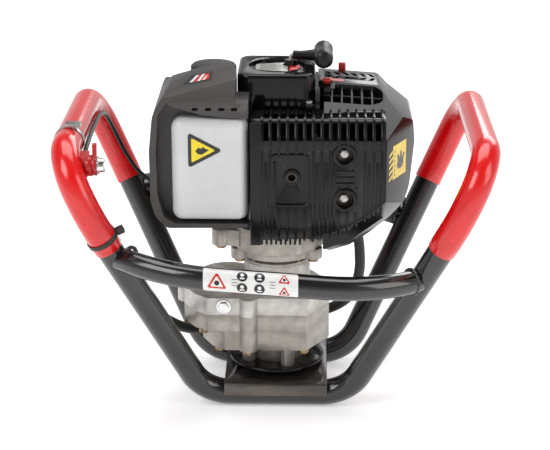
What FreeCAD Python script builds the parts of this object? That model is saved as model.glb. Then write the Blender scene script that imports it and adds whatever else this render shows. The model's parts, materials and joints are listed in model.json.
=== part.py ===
import FreeCAD, Part
import math
import os
import re

import Sketcher
from FreeCAD import Placement, Rotation, Vector

# Powerhead of a two-person ice auger: a small two-stroke engine on a two-stage reduction
# gearbox, in a bent-tube frame with a handle loop at each side.
# Millimetres. +Z is up, -Y is the front, and Z = 0 is where the frame's rails rest. The crankshaft,
# the clutch, the gearbox input and the output shaft all lie on the Z axis.

SIZES = {
    # frame tubes: the front right quarter, mirrored to the other three
    "tube_radius": 14, "tube_wall": 2, "butt_gap": 0.1,
    "rail_half_gap": 55.5, "rail_bend_x": 78.6, "rail_bend": 46.5,
    "leg_top_x": 188.5, "leg_top_y": 125.8, "leg_top_z": 238.7, "leg_bend": 170,
    "grip_x": 215.4, "grip_corner_y": 124, "grip_z": 302.3, "grip_bend": 42.6,
    "sleeve_play": 0.05, "sleeve_wall": 1.3, "sleeve_low_z": 204,
    # crossbars: the left end is welded higher than the right one
    "bar_radius": 12.5, "bar_wall": 2, "bar_left_z": 192, "bar_right_z": 166,
    "bar_bow_x": 101, "bar_bow": 42, "rear_bow": 37.5, "bar_bend": 150,
    "pad_radius": 17, "pad_trim": 0.18,
    # bracket welded across the two rails
    "plate_half_x": 56, "plate_thick": 3, "lip_low_z": 17, "lip_gap": 0.3, "plate_bend": 4,
    "shaft_hole": 26, "mount_bolt_radius": 4, "mount_ring": 37,
    # gearbox: input and output on the Z axis, the intermediate shaft beside it
    "centre_distance": 50, "ring_radius": 52.5, "ring_top": 38.5,
    "case_low": 60, "joint_low": 82, "joint_high": 101.5, "case_top": 121, "neck_top": 152,
    "neck_radius": 36.5, "neck_hollow": 30, "case_front": 48, "web": 8,
    "small_module": 1.25, "input_teeth": 14, "wheel_teeth": 66,
    "large_module": 2, "lay_teeth": 12, "output_teeth": 38,
    "gear_play": 1.2, "wheel_low": 91, "wheel_width": 9, "output_gear_low": 67.5,
    "output_gear_width": 13.5, "run_fit": 0.05,
    "output_radius": 10, "output_low": 4, "output_stub": 8, "lay_radius": 6, "input_radius": 7,
    "input_stub": 6, "bush_wall": 3, "drive_radius": 9.525, "drive_top": 37, "cross_hole": 4.1,
    "cross_hole_z": 13,
    # clutch
    "flange_low": 162, "flange_top": 172, "flange_radius": 45, "housing_neck": 30,
    "lug_x": 40, "lug_radius": 9.5, "drum_radius": 39, "drum_wall": 2.5, "drum_low": 167.5,
    "drum_top": 191, "shoe_outer": 35, "shoe_inner": 22, "shoe_low": 175, "shoe_high": 187,
    # engine
    "bell_radius": 52, "bell_hollow": 43, "bell_top": 198, "crank_z": 229, "crank_throw": 17,
    "journal": 8, "web_radius": 28, "web_thick": 11, "web_gap": 16, "chamber_radius": 38,
    "chamber_hollow": 31, "chamber_top": 262, "rod_length": 60, "rod_thick": 12,
    "bore_radius": 22, "piston_radius": 21.9, "piston_height": 32, "piston_above_pin": 20,
    "barrel_low": 44, "barrel_top": 104, "barrel_radius": 27, "fin_half": 37, "fin_thick": 2.4,
    "fin_count": 7, "fin_pitch": 7.6, "flywheel_radius": 36, "flywheel_low": 268,
    "flywheel_thick": 20,
    # muffler and its guard
    "guard_left": -26, "guard_right": 113, "guard_front": -90, "guard_back": -44,
    "guard_low": 204, "guard_top": 332, "guard_shoulder_z": 316, "guard_shoulder_y": -76,
    "guard_wall": 2.5, "slot_pitch": 9, "slot_width": 5, "slot_count": 13,
    # fuel tank, its cover and its cap
    "tank_left": -107, "tank_right": -28.5, "tank_front": -90, "tank_back": 26, "tank_low": 224,
    "tank_top": 334, "tank_corner": 11, "tank_wall": 2.5, "filler_x": -68, "filler_y": 15,
    "filler_radius": 17, "cap_radius": 24.5, "cap_low": 347, "cap_top": 366,
    "cover_wall": 3, "cover_front": -88, "cover_back": 34,
    # shroud over the cylinder
    "shroud_front": -86, "shroud_back": 46, "shroud_wall": 2.5,
    # recoil starter
    "recoil_half_x": 41, "recoil_front": -40, "recoil_back": 48, "recoil_top": 368,
    "recoil_corner": 13, "recoil_wall": 3, "recess_radius": 30,
    "recess_deep": 4, "recess_y": 4, "reel_radius": 30, "rope_radius": 1.8,
    "rope_x": 14, "rope_y": 15, "pull_tilt": 8, "grip_length": 56,
    "grip_radius": 9.5, "grip_reach": 34, "ear_x": 34, "ear_out": 4.5,
    # air side, at the back
    "filter_left": 18, "filter_right": 98, "filter_low": 214, "filter_high": 300,
    "filter_joint_y": 80, "filter_back": 108, "filter_wall": 2.5,
    # lines held by the object
    "loom_radius": 6, "cable_radius": 2.5,
}

doc = FreeCAD.newDocument("ice_auger_powerhead")
sheet = doc.addObject("Spreadsheet::Sheet", "Dims")
for row, (size_name, size_value) in enumerate(SIZES.items(), 1):
    sheet.set("A%d" % row, size_name)
    sheet.set("B%d" % row, str(size_value))
    sheet.setAlias("B%d" % row, size_name)
doc.recompute()

PIECES = []


# ---- small helpers ---------------------------------------------------------------------------

def size(name):
    """The number in the sheet's cell of that name."""
    return float(sheet.get(name))


def formula(text):
    """An expression in which each size's name points at its cell."""
    return re.sub(r"[a-z_]+", lambda m: "Dims." + m.group() if m.group() in SIZES else m.group(),
                  str(text))


def value(text):
    """What an expression of sizes comes to."""
    return float(sheet.evalExpression(formula(text)))


def bind(thing, **properties):
    for name, text in properties.items():
        thing.setExpression(name, formula(text))
    return thing


def move(thing, x=0, y=0, z=0, turn=Rotation()):
    """Turn a shape about its own origin, then bind its place to the sheet."""
    thing.Placement = Placement(Vector(), turn)
    for axis, text in zip("xyz", (x, y, z)):
        thing.setExpression("Placement.Base." + axis, formula(text))
    return thing


ALONG = {
    "Z": Rotation(),
    "X": Rotation(Vector(0, 1, 0), 90),
    "Y": Rotation(Vector(1, 0, 0), -90),
    "-Z": Rotation(Vector(1, 0, 0), 180),
    "-Y": Rotation(Vector(1, 0, 0), 90),
}


def cylinder(radius, length, x=0, y=0, z=0, along="Z"):
    rod = bind(doc.addObject("Part::Cylinder", "Rod"), Radius=radius, Height=length)
    return move(rod, x, y, z, ALONG[along])


def cone(low_radius, high_radius, length, x=0, y=0, z=0, along="Z"):
    taper = bind(doc.addObject("Part::Cone", "Taper"), Radius1=low_radius, Radius2=high_radius,
                 Height=length)
    return move(taper, x, y, z, ALONG[along])


def hexagon(radius, length, x=0, y=0, z=0, along="Z"):
    prism = bind(doc.addObject("Part::Prism", "Hex"), Circumradius=radius, Height=length)
    prism.Polygon = 6
    return move(prism, x, y, z, ALONG[along])


def block(low, high):
    """A box between two corners, each given as three expressions."""
    spans = ["(%s) - (%s)" % (b, a) for a, b in zip(low, high)]
    box = bind(doc.addObject("Part::Box", "Block"), Length=spans[0], Width=spans[1],
               Height=spans[2])
    return move(box, *low)


def cut(base, *tools):
    for tool in tools:
        left = doc.addObject("Part::Cut", "Cut")
        left.Base = base
        left.Tool = tool
        base = left
    return base


def fuse(*shapes):
    joined = doc.addObject("Part::MultiFuse", "Joined")
    joined.Shapes = list(shapes)
    joined.Refine = True
    return joined


def common(base, tool):
    both = doc.addObject("Part::Common", "Common")
    both.Base = base
    both.Tool = tool
    return both


def group(label, solids):
    """Identical or paired pieces that stay separate solids in one sub-part."""
    members = doc.addObject("Part::Compound", "Group")
    members.Links = solids
    return piece(members, label)


def edge_numbers(shape, test):
    return [number for number, edge in enumerate(shape.Edges, 1) if test(edge)]


def rounded(base, radius, test):
    """Round the edges of base that pass the test."""
    doc.recompute()
    fillet = doc.addObject("Part::Fillet", "Rounded")
    fillet.Base = base
    length = value(radius)
    fillet.Edges = [(n, length, length) for n in edge_numbers(base.Shape, test)]
    return fillet


def upright(edge):
    """True for a straight edge along Z."""
    span = edge.BoundBox
    return span.ZLength > 1 and span.XLength < 0.01 and span.YLength < 0.01


def upright_at(*places):
    """A test for straight edges along Z whose x is one of the places."""
    return lambda edge: upright(edge) and any(abs(edge.BoundBox.XMin - x) < 0.01 for x in places)


def piece(thing, label):
    """Take a shape as a finished sub-part."""
    thing.Label = label
    PIECES.append(thing)
    return thing


def shaped(shape):
    """A feature for a shape that neither a body nor a primitive makes."""
    feature = doc.addObject("Part::Feature", "Feature")
    feature.Shape = shape
    return feature


# ---- sketches and bodies ---------------------------------------------------------------------

def new_body():
    return doc.addObject("PartDesign::Body", "Body")


def sketch_on(body, role, lift=0):
    """An empty sketch on one of the body's own origin planes, lifted along its normal."""
    plane = next(f for f in body.Origin.OriginFeatures if f.Role == role)
    sketch = body.newObject("Sketcher::SketchObject", "Sketch")
    sketch.AttachmentSupport = [(plane, "")]
    sketch.MapMode = "FlatFace"
    sketch.setExpression("AttachmentOffset.Base.z", formula(lift))
    return sketch


def pin_point(sketch, edge, end, x, y):
    """Tie a point of the sketch to the origin by two bound distances."""
    for kind, text in (("DistanceX", x), ("DistanceY", y)):
        number = sketch.addConstraint(Sketcher.Constraint(kind, -1, 1, edge, end, value(text)))
        sketch.setExpression("Constraints[%d]" % number, formula(text))


def outline(sketch, corners):
    """A closed outline of straight edges through the corners."""
    points = [Vector(value(x), value(y), 0) for x, y in corners]
    first = sketch.GeometryCount
    count = len(points)
    for i in range(count):
        sketch.addGeometry(Part.LineSegment(points[i], points[(i + 1) % count]), False)
    for i in range(count):
        sketch.addConstraint(Sketcher.Constraint("Coincident", first + i, 2,
                                                 first + (i + 1) % count, 1))
    for i, (x, y) in enumerate(corners):
        pin_point(sketch, first + i, 1, x, y)
    return sketch


def circle(sketch, radius, x=0, y=0):
    edge = sketch.addGeometry(Part.Circle(Vector(value(x), value(y), 0), Vector(0, 0, 1),
                                          value(radius)), False)
    number = sketch.addConstraint(Sketcher.Constraint("Radius", edge, value(radius)))
    sketch.setExpression("Constraints[%d]" % number, formula(radius))
    pin_point(sketch, edge, 3, x, y)
    return sketch


def pad(body, sketch, length, centred=False):
    feature = body.newObject("PartDesign::Pad", "Pad")
    feature.Profile = sketch
    feature.setExpression("Length", formula(length))
    feature.Midplane = centred
    doc.recompute()
    return feature


def pocket(body, sketch, length, towards_normal=False):
    """Cut away from the sketch, against its normal unless told otherwise."""
    doc.recompute()
    before = body.Shape.Volume
    feature = body.newObject("PartDesign::Pocket", "Pocket")
    feature.Profile = sketch
    feature.setExpression("Length", formula(length))
    feature.Reversed = towards_normal
    doc.recompute()
    assert body.Shape.Volume < before - 1, "pocket cut nothing in " + body.Label
    return feature


def turned(label, corners):
    """A body turned about Z: its half section is given as radius and height pairs."""
    body = new_body()
    body.Label = label
    profile = outline(sketch_on(body, "XZ_Plane"), corners)
    solid = body.newObject("PartDesign::Revolution", "Revolution")
    solid.Profile = profile
    solid.ReferenceAxis = (profile, ["V_Axis"])
    solid.Angle = 360
    doc.recompute()
    return body


def bevel(body, amount, test):
    """Round edges of a body as its last feature."""
    doc.recompute()
    base = body.Tip
    feature = body.newObject("PartDesign::Fillet", "Fillet")
    feature.Base = (base, ["Edge%d" % n for n in edge_numbers(base.Shape, test)])
    feature.setExpression("Radius", formula(amount))
    doc.recompute()
    return feature


# ---- bent tubes and cords --------------------------------------------------------------------

def bent_path(points, radii):
    """Straight runs joined by tangent arcs, as a wire."""
    edges = []
    start = points[0]
    for before, corner, after, radius in zip(points, points[1:], points[2:], radii):
        back = (before - corner).normalize()
        ahead = (after - corner).normalize()
        turn = math.pi - back.getAngle(ahead)
        reach = radius * math.tan(turn / 2)
        middle = (back + ahead).normalize()
        centre = corner + middle * (radius / math.cos(turn / 2))
        enter = corner + back * reach
        leave = corner + ahead * reach
        if (enter - start).Length > 1e-6:
            edges.append(Part.LineSegment(start, enter).toShape())
        edges.append(Part.Arc(enter, centre - middle * radius, leave).toShape())
        start = leave
    edges.append(Part.LineSegment(start, points[-1]).toShape())
    return Part.Wire(edges)


def rod_along(wire, radius):
    """A round solid along a wire, checked against its section times its length."""
    start = wire.OrderedVertexes[0].Point
    ahead = wire.OrderedEdges[0].tangentAt(wire.OrderedEdges[0].FirstParameter)
    if (wire.OrderedEdges[0].valueAt(wire.OrderedEdges[0].FirstParameter) - start).Length > 1e-6:
        ahead = wire.OrderedEdges[0].tangentAt(wire.OrderedEdges[0].LastParameter) * -1
    section = Part.Wire(Part.Circle(start, ahead, radius).toShape())
    solid = wire.makePipeShell([section], True, False)
    ideal = math.pi * radius ** 2 * wire.Length
    assert abs(solid.Volume / ideal - 1) < 0.002, "swept volume is off"
    return solid


def even_radii(points):
    """For a cord: each arc as large as its two runs allow."""
    radii = []
    for before, corner, after in zip(points, points[1:], points[2:]):
        turn = math.pi - (before - corner).getAngle(after - corner)
        run = min((before - corner).Length, (after - corner).Length)
        radii.append(0.45 * run / math.tan(turn / 2))
    return radii


def mirrored_y(points):
    return [Vector(p.x, -p.y, p.z) for p in points]


# ---- frame -----------------------------------------------------------------------------------

def leg_point(side, height):
    """A point at a height on the straight part of a front leg; side is -1 for the left."""
    share = (height - size("tube_radius")) / (size("leg_top_z") - size("tube_radius"))
    x = size("rail_bend_x") + share * (size("leg_top_x") - size("rail_bend_x"))
    y = size("rail_half_gap") + share * (size("leg_top_y") - size("rail_half_gap"))
    return Vector(side * x, -y, height)


def frame_points():
    """Corners of the front tube, from the middle of the left grip to that of the right one."""
    right = [
        Vector(size("rail_bend_x"), -size("rail_half_gap"), size("tube_radius")),
        Vector(size("leg_top_x"), -size("leg_top_y"), size("leg_top_z")),
        Vector(size("grip_x"), -size("grip_corner_y"), size("grip_z")),
        Vector(size("grip_x"), -size("butt_gap"), size("grip_z")),
    ]
    left = [Vector(-p.x, p.y, p.z) for p in reversed(right)]
    return left + right


def frame_radii():
    half = [size("grip_bend"), size("leg_bend"), size("rail_bend")]
    return half + half[::-1]


def sleeve_points(side):
    """The handle loop from the front leg, over the grip and down the rear leg."""
    front = [
        leg_point(side, size("sleeve_low_z")),
        Vector(side * size("leg_top_x"), -size("leg_top_y"), size("leg_top_z")),
        Vector(side * size("grip_x"), -size("grip_corner_y"), size("grip_z")),
    ]
    return front + mirrored_y(front)[::-1]


def crossbar_points(bow, low_share=0.0):
    """A bowed bar between the front legs; low_share trims that share off both end runs."""
    left = leg_point(-1, size("bar_left_z"))
    right = leg_point(1, size("bar_right_z"))
    along = right - left
    bends = []
    for x in (-size("bar_bow_x"), size("bar_bow_x")):
        bends.append(left + along * ((x - left.x) / along.x) - Vector(0, bow, 0))
    start = left + (bends[0] - left) * low_share
    end = right + (bends[1] - right) * low_share
    return [start] + bends + [end]


def make_frame():
    outer, inner = size("tube_radius"), size("tube_radius") - size("tube_wall")
    legs = {}
    for label, points in (("front_frame_tube", frame_points()),
                          ("rear_frame_tube", mirrored_y(frame_points()))):
        wire = bent_path(points, frame_radii())
        legs[label] = shaped(rod_along(wire, outer))
        piece(cut(legs[label], shaped(rod_along(wire, inner))), label)
    rear_legs = wire

    sleeve_in = outer + size("sleeve_play")
    sleeve_out = sleeve_in + size("sleeve_wall")
    for label, side in (("left_grip_sleeve", -1), ("right_grip_sleeve", 1)):
        bends = [size("leg_bend"), size("grip_bend"), size("grip_bend"), size("leg_bend")]
        wire = bent_path(sleeve_points(side), bends)
        piece(cut(shaped(rod_along(wire, sleeve_out)), shaped(rod_along(wire, sleeve_in))), label)

    bar_out, bar_in = size("bar_radius"), size("bar_radius") - size("bar_wall")
    bends = [size("bar_bend")] * 2
    front = bent_path(crossbar_points(size("bar_bow")), bends)
    rear = bent_path(mirrored_y(crossbar_points(size("rear_bow"))), bends)
    for label, wire, tube in (("front_crossbar", front, "front_frame_tube"),
                              ("rear_crossbar", rear, "rear_frame_tube")):
        bar = cut(shaped(rod_along(wire, bar_out)), legs[tube])
        piece(cut(bar, shaped(rod_along(wire, bar_in))), label)

    padded = bent_path(mirrored_y(crossbar_points(size("rear_bow"), size("pad_trim"))), bends)
    sleeve = shaped(rod_along(padded, size("pad_radius")))
    core = shaped(rod_along(padded, bar_out + size("sleeve_play")))
    around_legs = shaped(rod_along(rear_legs, outer + 4))
    piece(cut(sleeve, core, around_legs), "rear_crossbar_pad")


def make_bracket():
    """A plate folded down over both rails, with the shaft's hole and the mounting bolts' holes."""
    body = new_body()
    rail_top = "2 * tube_radius"
    outer = "rail_half_gap + tube_radius + lip_gap + plate_thick"
    inner = "rail_half_gap + tube_radius + lip_gap"
    corners = [
        ("-(%s)" % outer, "lip_low_z"), ("-(%s)" % inner, "lip_low_z"),
        ("-(%s)" % inner, rail_top), (inner, rail_top), (inner, "lip_low_z"),
        (outer, "lip_low_z"), (outer, rail_top + " + plate_thick"),
        ("-(%s)" % outer, rail_top + " + plate_thick"),
    ]
    pad(body, outline(sketch_on(body, "YZ_Plane"), corners), "2 * plate_half_x", centred=True)
    holes = sketch_on(body, "XY_Plane", rail_top + " + plate_thick")
    circle(holes, "shaft_hole")
    for angle in MOUNT_ANGLES:
        circle(holes, "mount_bolt_radius + 0.5", "mount_ring * cos(%g)" % angle,
               "mount_ring * sin(%g)" % angle)
    pocket(body, holes, "plate_thick + 1")
    top = value(rail_top + " + plate_thick")
    bevel(body, "2.4", lambda e: e.BoundBox.XLength > 100 and abs(e.BoundBox.ZMax - top) < 0.01
          and e.BoundBox.ZLength < 0.01)
    piece(body, "mount_bracket")


MOUNT_ANGLES = (-70, -145, 145, 70)

doc.recompute()
make_frame()
make_bracket()


# ---- gearbox ---------------------------------------------------------------------------------

def case_outline(left_corners):
    """Half outline of a gearbox layer, mirrored front to back."""
    right = [("rail_bend_x * 0.42", "-case_front"), ("plate_half_x + 2", "-8")]
    front = left_corners + right
    back = [(x, "-(%s)" % y) for x, y in reversed(front)]
    return front + back


WIDE_LEFT = [("-102", "-14"), ("-88", "-36"), ("-75", "-case_front")]
NARROW_LEFT = [("-82", "-12"), ("-70", "-36"), ("-56", "-case_front")]
COLUMN = ("-30", "-46", "10")
UPPER_BOLTS = [(-96.2, -11), (-96.2, 11), (-79, -38), (-79, 38)]
THROUGH_BOLTS = [(-30, -47), (-30, 47), (30, -42), (30, 42), (52, 0)]
WEB_BOLTS = [(-62, -35), (-62, 35)]
NECK_SCREWS = [(23.5, -23.5), (23.5, 23.5), (-23.5, -23.5), (-23.5, 23.5)]
M6_HOLE = 3.2
M4_HOLE = 2.2


def case_layer(corners, low, high, bosses):
    """One cast layer of the gearbox with its bolt bosses, still without its hollows."""
    body = new_body()
    tall = "%s - (%s)" % (high, low)
    pad(body, outline(sketch_on(body, "XY_Plane", low), case_outline(corners)), tall)
    for x, y, radius in bosses:
        pad(body, circle(sketch_on(body, "XY_Plane", low), radius, x, y), tall)
    return body


def drill(body, places, radius, top, depth):
    holes = sketch_on(body, "XY_Plane", top)
    for x, y in places:
        circle(holes, radius, x, y)
    pocket(body, holes, depth)


def well(body, radius, x, top, depth):
    pocket(body, circle(sketch_on(body, "XY_Plane", top), radius, x, 0), depth)


def make_case():
    wheel_well = "small_module * wheel_teeth / 2 + small_module + gear_play"
    output_well = "large_module * output_teeth / 2 + large_module + gear_play"
    lay_well = "large_module * lay_teeth / 2 + large_module + 1"
    column = [COLUMN, ("-30", "46", "10")]
    ears = [("-98", "0", "12")]

    lower = case_layer(NARROW_LEFT, "case_low", "joint_low", column)
    pad(lower, circle(sketch_on(lower, "XY_Plane", "ring_top"), "shaft_hole + 4"),
        "case_low - ring_top")
    posts = sketch_on(lower, "XY_Plane", "ring_top")
    for angle in MOUNT_ANGLES:
        circle(posts, 7.5, "mount_ring * cos(%g)" % angle, "mount_ring * sin(%g)" % angle)
    pad(lower, posts, "case_low + 2 - ring_top")
    well(lower, output_well, 0, "joint_low", "joint_low - output_gear_low + 1.5")
    well(lower, lay_well, "-centre_distance", "joint_low", "joint_low - output_gear_low + 1.5")
    well(lower, "output_radius + bush_wall", 0, "joint_low", "joint_low - ring_top + 1")
    well(lower, "output_radius + 6", 0, "ring_top + 7", "8")
    well(lower, "lay_radius + bush_wall", "-centre_distance", "joint_low",
         "joint_low - case_low - 2")
    drill(lower, THROUGH_BOLTS + WEB_BOLTS, M6_HOLE, "joint_low", "joint_low - case_low + 1")
    mounts = sketch_on(lower, "XY_Plane", "ring_top - 1")
    for angle in MOUNT_ANGLES:
        circle(mounts, "mount_bolt_radius + 0.1", "mount_ring * cos(%g)" % angle,
               "mount_ring * sin(%g)" % angle)
    pocket(lower, mounts, "20", towards_normal=True)
    bevel(lower, "2", upright_at(-82, -70))
    piece(lower, "gearbox_lower_case")

    middle = case_layer(WIDE_LEFT, "joint_low", "joint_high", column)
    well(middle, wheel_well, "-centre_distance", "joint_high", "joint_high - joint_low - web")
    well(middle, "input_teeth + 4", 0, "joint_high", "joint_high - joint_low - web")
    well(middle, "output_stub + bush_wall", 0, "joint_high", "joint_high - joint_low + 1")
    well(middle, lay_well, "-centre_distance", "joint_high", "joint_high - joint_low + 1")
    drill(middle, THROUGH_BOLTS + UPPER_BOLTS, M6_HOLE, "joint_high", "joint_high - joint_low + 1")
    drill(middle, WEB_BOLTS, M6_HOLE, "joint_low + web - 0.4", "web + 0.6")
    bevel(middle, "2", upright_at(-102, -88, -75))
    piece(middle, "gearbox_middle_case")

    upper = case_layer(WIDE_LEFT, "joint_high", "case_top", column + ears)
    for radius, x, top in (("neck_radius", "0", "neck_top"), ("34", "-centre_distance - 4",
                                                              "case_top + 12")):
        pad(upper, circle(sketch_on(upper, "XY_Plane", "case_top - 1"), radius, x, 0),
            "%s - case_top + 1" % top)
    well(upper, "neck_hollow", 0, "neck_top", "neck_top - case_top")
    drill(upper, NECK_SCREWS, M4_HOLE, "neck_top", 16)
    wells = sketch_on(upper, "XY_Plane", "joint_high - 1")
    circle(wells, "lay_radius + bush_wall", "-centre_distance")
    circle(wells, "input_radius + bush_wall")
    pocket(upper, wells, "16", towards_normal=True)
    well(upper, "input_radius + 1", 0, "case_top + 1", "12")
    drill(upper, THROUGH_BOLTS + UPPER_BOLTS, M6_HOLE, "joint_high + 12", 13)
    hole = sketch_on(upper, "XZ_Plane", 0)
    circle(hole, "5.1", "-57", "joint_high + 10")
    pocket(upper, hole, "case_front + 1", towards_normal=True)
    bevel(upper, "2.5", lambda e: abs(e.BoundBox.ZMin - size("case_top") - 12) < 0.01
          and e.BoundBox.ZLength < 0.01)
    piece(upper, "gearbox_upper_case")


def hex_bolt(x, y, seat, length, radius=3, upside=True, head=5.6, head_high=4.2):
    """A bolt whose head sits below a face when upside, or above it."""
    if upside:
        shank = cylinder(radius, length, x, y, seat)
        cap = hexagon(head, head_high, x, y, "(%s) - (%s)" % (seat, head_high))
    else:
        shank = cylinder(radius, length, x, y, "(%s) - (%s)" % (seat, length))
        cap = hexagon(head, head_high, x, y, seat)
    return fuse(shank, cap)


def make_hex_bolts():
    """Every hexagon bolt of the gearbox, the clutch housing and the crankcase."""
    bolts = [hex_bolt(x, y, "joint_low", "29") for x, y in UPPER_BOLTS]
    bolts += [hex_bolt(x, y, "case_low", "50") for x, y in THROUGH_BOLTS]
    bolts += [hex_bolt(x, y, "case_low", "joint_low - case_low + web - 0.5")
              for x, y in WEB_BOLTS]
    bolts += [hex_bolt(x, y, "flange_low - 2", "22") for x, y in LUG_PLACES]
    bolts += [hex_bolt(x, y, "neck_top + 4", "18", 2, upside=False, head=3.1, head_high=3.4)
              for x, y in NECK_SCREWS]
    bolts += [hex_bolt(x, y, "flange_top + 4", "17") for x, y in EAR_PLACES]
    for angle in MOUNT_ANGLES:
        x = "mount_ring * cos(%g)" % angle
        y = "mount_ring * sin(%g)" % angle
        bolts.append(hex_bolt(x, y, "2 * tube_radius", "29", "mount_bolt_radius",
                              head=7.2, head_high=5.3))
    group("hex_bolts", bolts)


def make_plug_and_ring():
    plug_z = "joint_high + 10"
    plug = fuse(cylinder("5", "10", "-57", "-case_front", plug_z, "Y"),
                cylinder("8", "1.6", "-57", "-case_front", plug_z, "-Y"),
                hexagon("6.4", "5", "-57", "-case_front", plug_z, "-Y"))
    piece(plug, "oil_plug")
    ring = turned("dust_ring", [
        ("shaft_hole", "2 * tube_radius + plate_thick"),
        ("ring_radius - 6", "2 * tube_radius + plate_thick"),
        ("ring_radius - 6", "ring_top - 5"), ("ring_radius", "ring_top - 4"),
        ("ring_radius", "ring_top - 1"), ("ring_radius - 1", "ring_top"),
        ("shaft_hole", "ring_top"),
    ])
    holes = sketch_on(ring, "XY_Plane", "ring_top")
    for angle in MOUNT_ANGLES:
        circle(holes, "mount_bolt_radius + 0.3", "mount_ring * cos(%g)" % angle,
               "mount_ring * sin(%g)" % angle)
    pocket(ring, holes, "10")
    piece(ring, "dust_ring")


# ---- gears and shafts ------------------------------------------------------------------------

PRESSURE = math.radians(20)


def involute(angle):
    return math.tan(angle) - angle


def flank_point(pitch, half_tooth, radius):
    """A point of a tooth's flank at a radius, measured from the tooth's middle line."""
    base = pitch * math.cos(PRESSURE)
    lean = involute(math.acos(min(1.0, base / max(radius, base))))
    angle = half_tooth + involute(PRESSURE) - lean
    return radius, angle


def gear_face(module, teeth, first_angle, tip, root):
    """An involute gear's outline; the first tooth's middle is at first_angle."""
    pitch = module * teeth / 2
    base = pitch * math.cos(PRESSURE)
    half_tooth = math.pi / (2 * teeth) - 0.06 * module / pitch
    step = 2 * math.pi / teeth
    low = max(root, base)
    radii = [low, (low + tip) / 2, tip]
    flank = [flank_point(pitch, half_tooth, r) for r in radii]
    edges = []

    def spot(radius, angle):
        return Vector(radius * math.cos(angle), radius * math.sin(angle), 0)

    for i in range(teeth):
        middle = first_angle + i * step
        rise = [spot(r, middle - a) for r, a in flank]
        fall = [spot(r, middle + a) for r, a in reversed(flank)]
        foot = [spot(root, middle - flank[0][1]), spot(root, middle + flank[0][1])]
        following = spot(root, middle + step - flank[0][1])
        if root < low - 1e-6:
            edges.append(Part.LineSegment(foot[0], rise[0]))
        edges.append(Part.Arc(*rise))
        edges.append(Part.LineSegment(rise[-1], fall[0]))
        edges.append(Part.Arc(*fall))
        if root < low - 1e-6:
            edges.append(Part.LineSegment(fall[-1], foot[1]))
        edges.append(Part.LineSegment(foot[1], following))
    return Part.Face(Part.Wire([e.toShape() for e in edges]))


def gear(module, teeth, first_angle, width, low, x=0.0, tip_share=1.0, root_share=1.25):
    """A gear's toothed blank standing on a height, its axis at x."""
    pitch = module * teeth / 2
    face = gear_face(module, teeth, first_angle, pitch + tip_share * module,
                     pitch - root_share * module)
    blank = shaped(face.extrude(Vector(0, 0, width)))
    blank.Placement = Placement(Vector(x, 0, low), Rotation())
    return blank


def make_gears():
    """Both stages, in mesh along the line between the shafts."""
    lay_x = -size("centre_distance")
    small, large = size("small_module"), size("large_module")
    wheel_teeth, output_teeth = int(size("wheel_teeth")), int(size("output_teeth"))
    input_teeth, lay_teeth = int(size("input_teeth")), int(size("lay_teeth"))
    wheel_low, wheel_width = size("wheel_low"), size("wheel_width")
    output_low, output_width = size("output_gear_low"), size("output_gear_width")

    # the pinions' teeth point along the line between the shafts and the wheels' gaps meet them
    pinion = gear(small, input_teeth, math.pi, wheel_width, wheel_low, 0, 0.9, 1.1)
    shaft = cylinder("input_radius", "drum_low + 3 - joint_low - web - 1", 0, 0,
                     "joint_low + web + 1")
    stub = cylinder("input_stub", "6", 0, 0, "joint_low + web - 3")
    piece(fuse(pinion, shaft, stub), "input_pinion")

    wheel = gear(small, wheel_teeth, math.pi / wheel_teeth, wheel_width, wheel_low, lay_x,
                 0.75, 1.15)
    lay = gear(large, lay_teeth, 0.0, wheel_low - output_low, output_low, lay_x, 0.9, 1.1)
    lay_shaft = cylinder("lay_radius", "joint_high + 12 - case_low - 3", "-centre_distance", 0,
                         "case_low + 3")
    cluster = fuse(wheel, lay, lay_shaft)
    lightening = [cylinder("6", "20", "-centre_distance + 28 * cos(%d)" % a,
                           "28 * sin(%d)" % a, "wheel_low - 5") for a in range(0, 360, 60)]
    piece(cut(cluster, *lightening), "intermediate_gear")

    output = gear(large, output_teeth, math.pi + math.pi / output_teeth, output_width,
                  output_low, 0, 0.75, 1.15)
    piece(cut(output, cylinder("output_radius", "30", 0, 0, "case_low")), "output_gear")

    shaft = fuse(cylinder("drive_radius", "drive_top - output_low + 1", 0, 0, "output_low"),
                 cylinder("output_radius", "joint_low - 0.5 - drive_top", 0, 0, "drive_top"),
                 cylinder("output_stub", "4", 0, 0, "joint_low - 1"))
    cross = cylinder("cross_hole", "60", "-30", 0, "cross_hole_z", "X")
    piece(cut(shaft, cross), "output_shaft")


def ring_solid(inner, outer, length, x=0, y=0, z=0, along="Z"):
    """A plain ring; its bore is cut right through."""
    hole = cylinder(inner, length, x, y, z, along)
    return cut(cylinder(outer, length, x, y, z, along), hole)


def make_bushes():
    seat = "case_low + 3"
    bushes = [
        ring_solid("lay_radius + run_fit", "lay_radius + bush_wall", "4", "-centre_distance",
                   0, seat),
        ring_solid("lay_radius + run_fit", "lay_radius + bush_wall", "8", "-centre_distance",
                   0, "joint_high + 3"),
        ring_solid("output_radius + run_fit", "output_radius + bush_wall", "12", 0, 0,
                   "case_low - 8"),
        ring_solid("output_stub + run_fit", "output_stub + bush_wall", "3.6", 0, 0, "joint_low"),
        ring_solid("input_stub + run_fit", "output_stub + bush_wall", "3.6", 0, 0,
                   "joint_low + web - 3.6"),
        ring_solid("input_radius + run_fit", "input_radius + bush_wall", "9", 0, 0,
                   "joint_high + 2"),
    ]
    seal = ring_solid("output_radius + run_fit", "output_radius + 6", "6", 0, 0, "ring_top + 1")
    group("bushes_and_seal", bushes + [seal])


make_case()
make_plug_and_ring()
make_gears()
make_bushes()


# ---- clutch ----------------------------------------------------------------------------------

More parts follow.
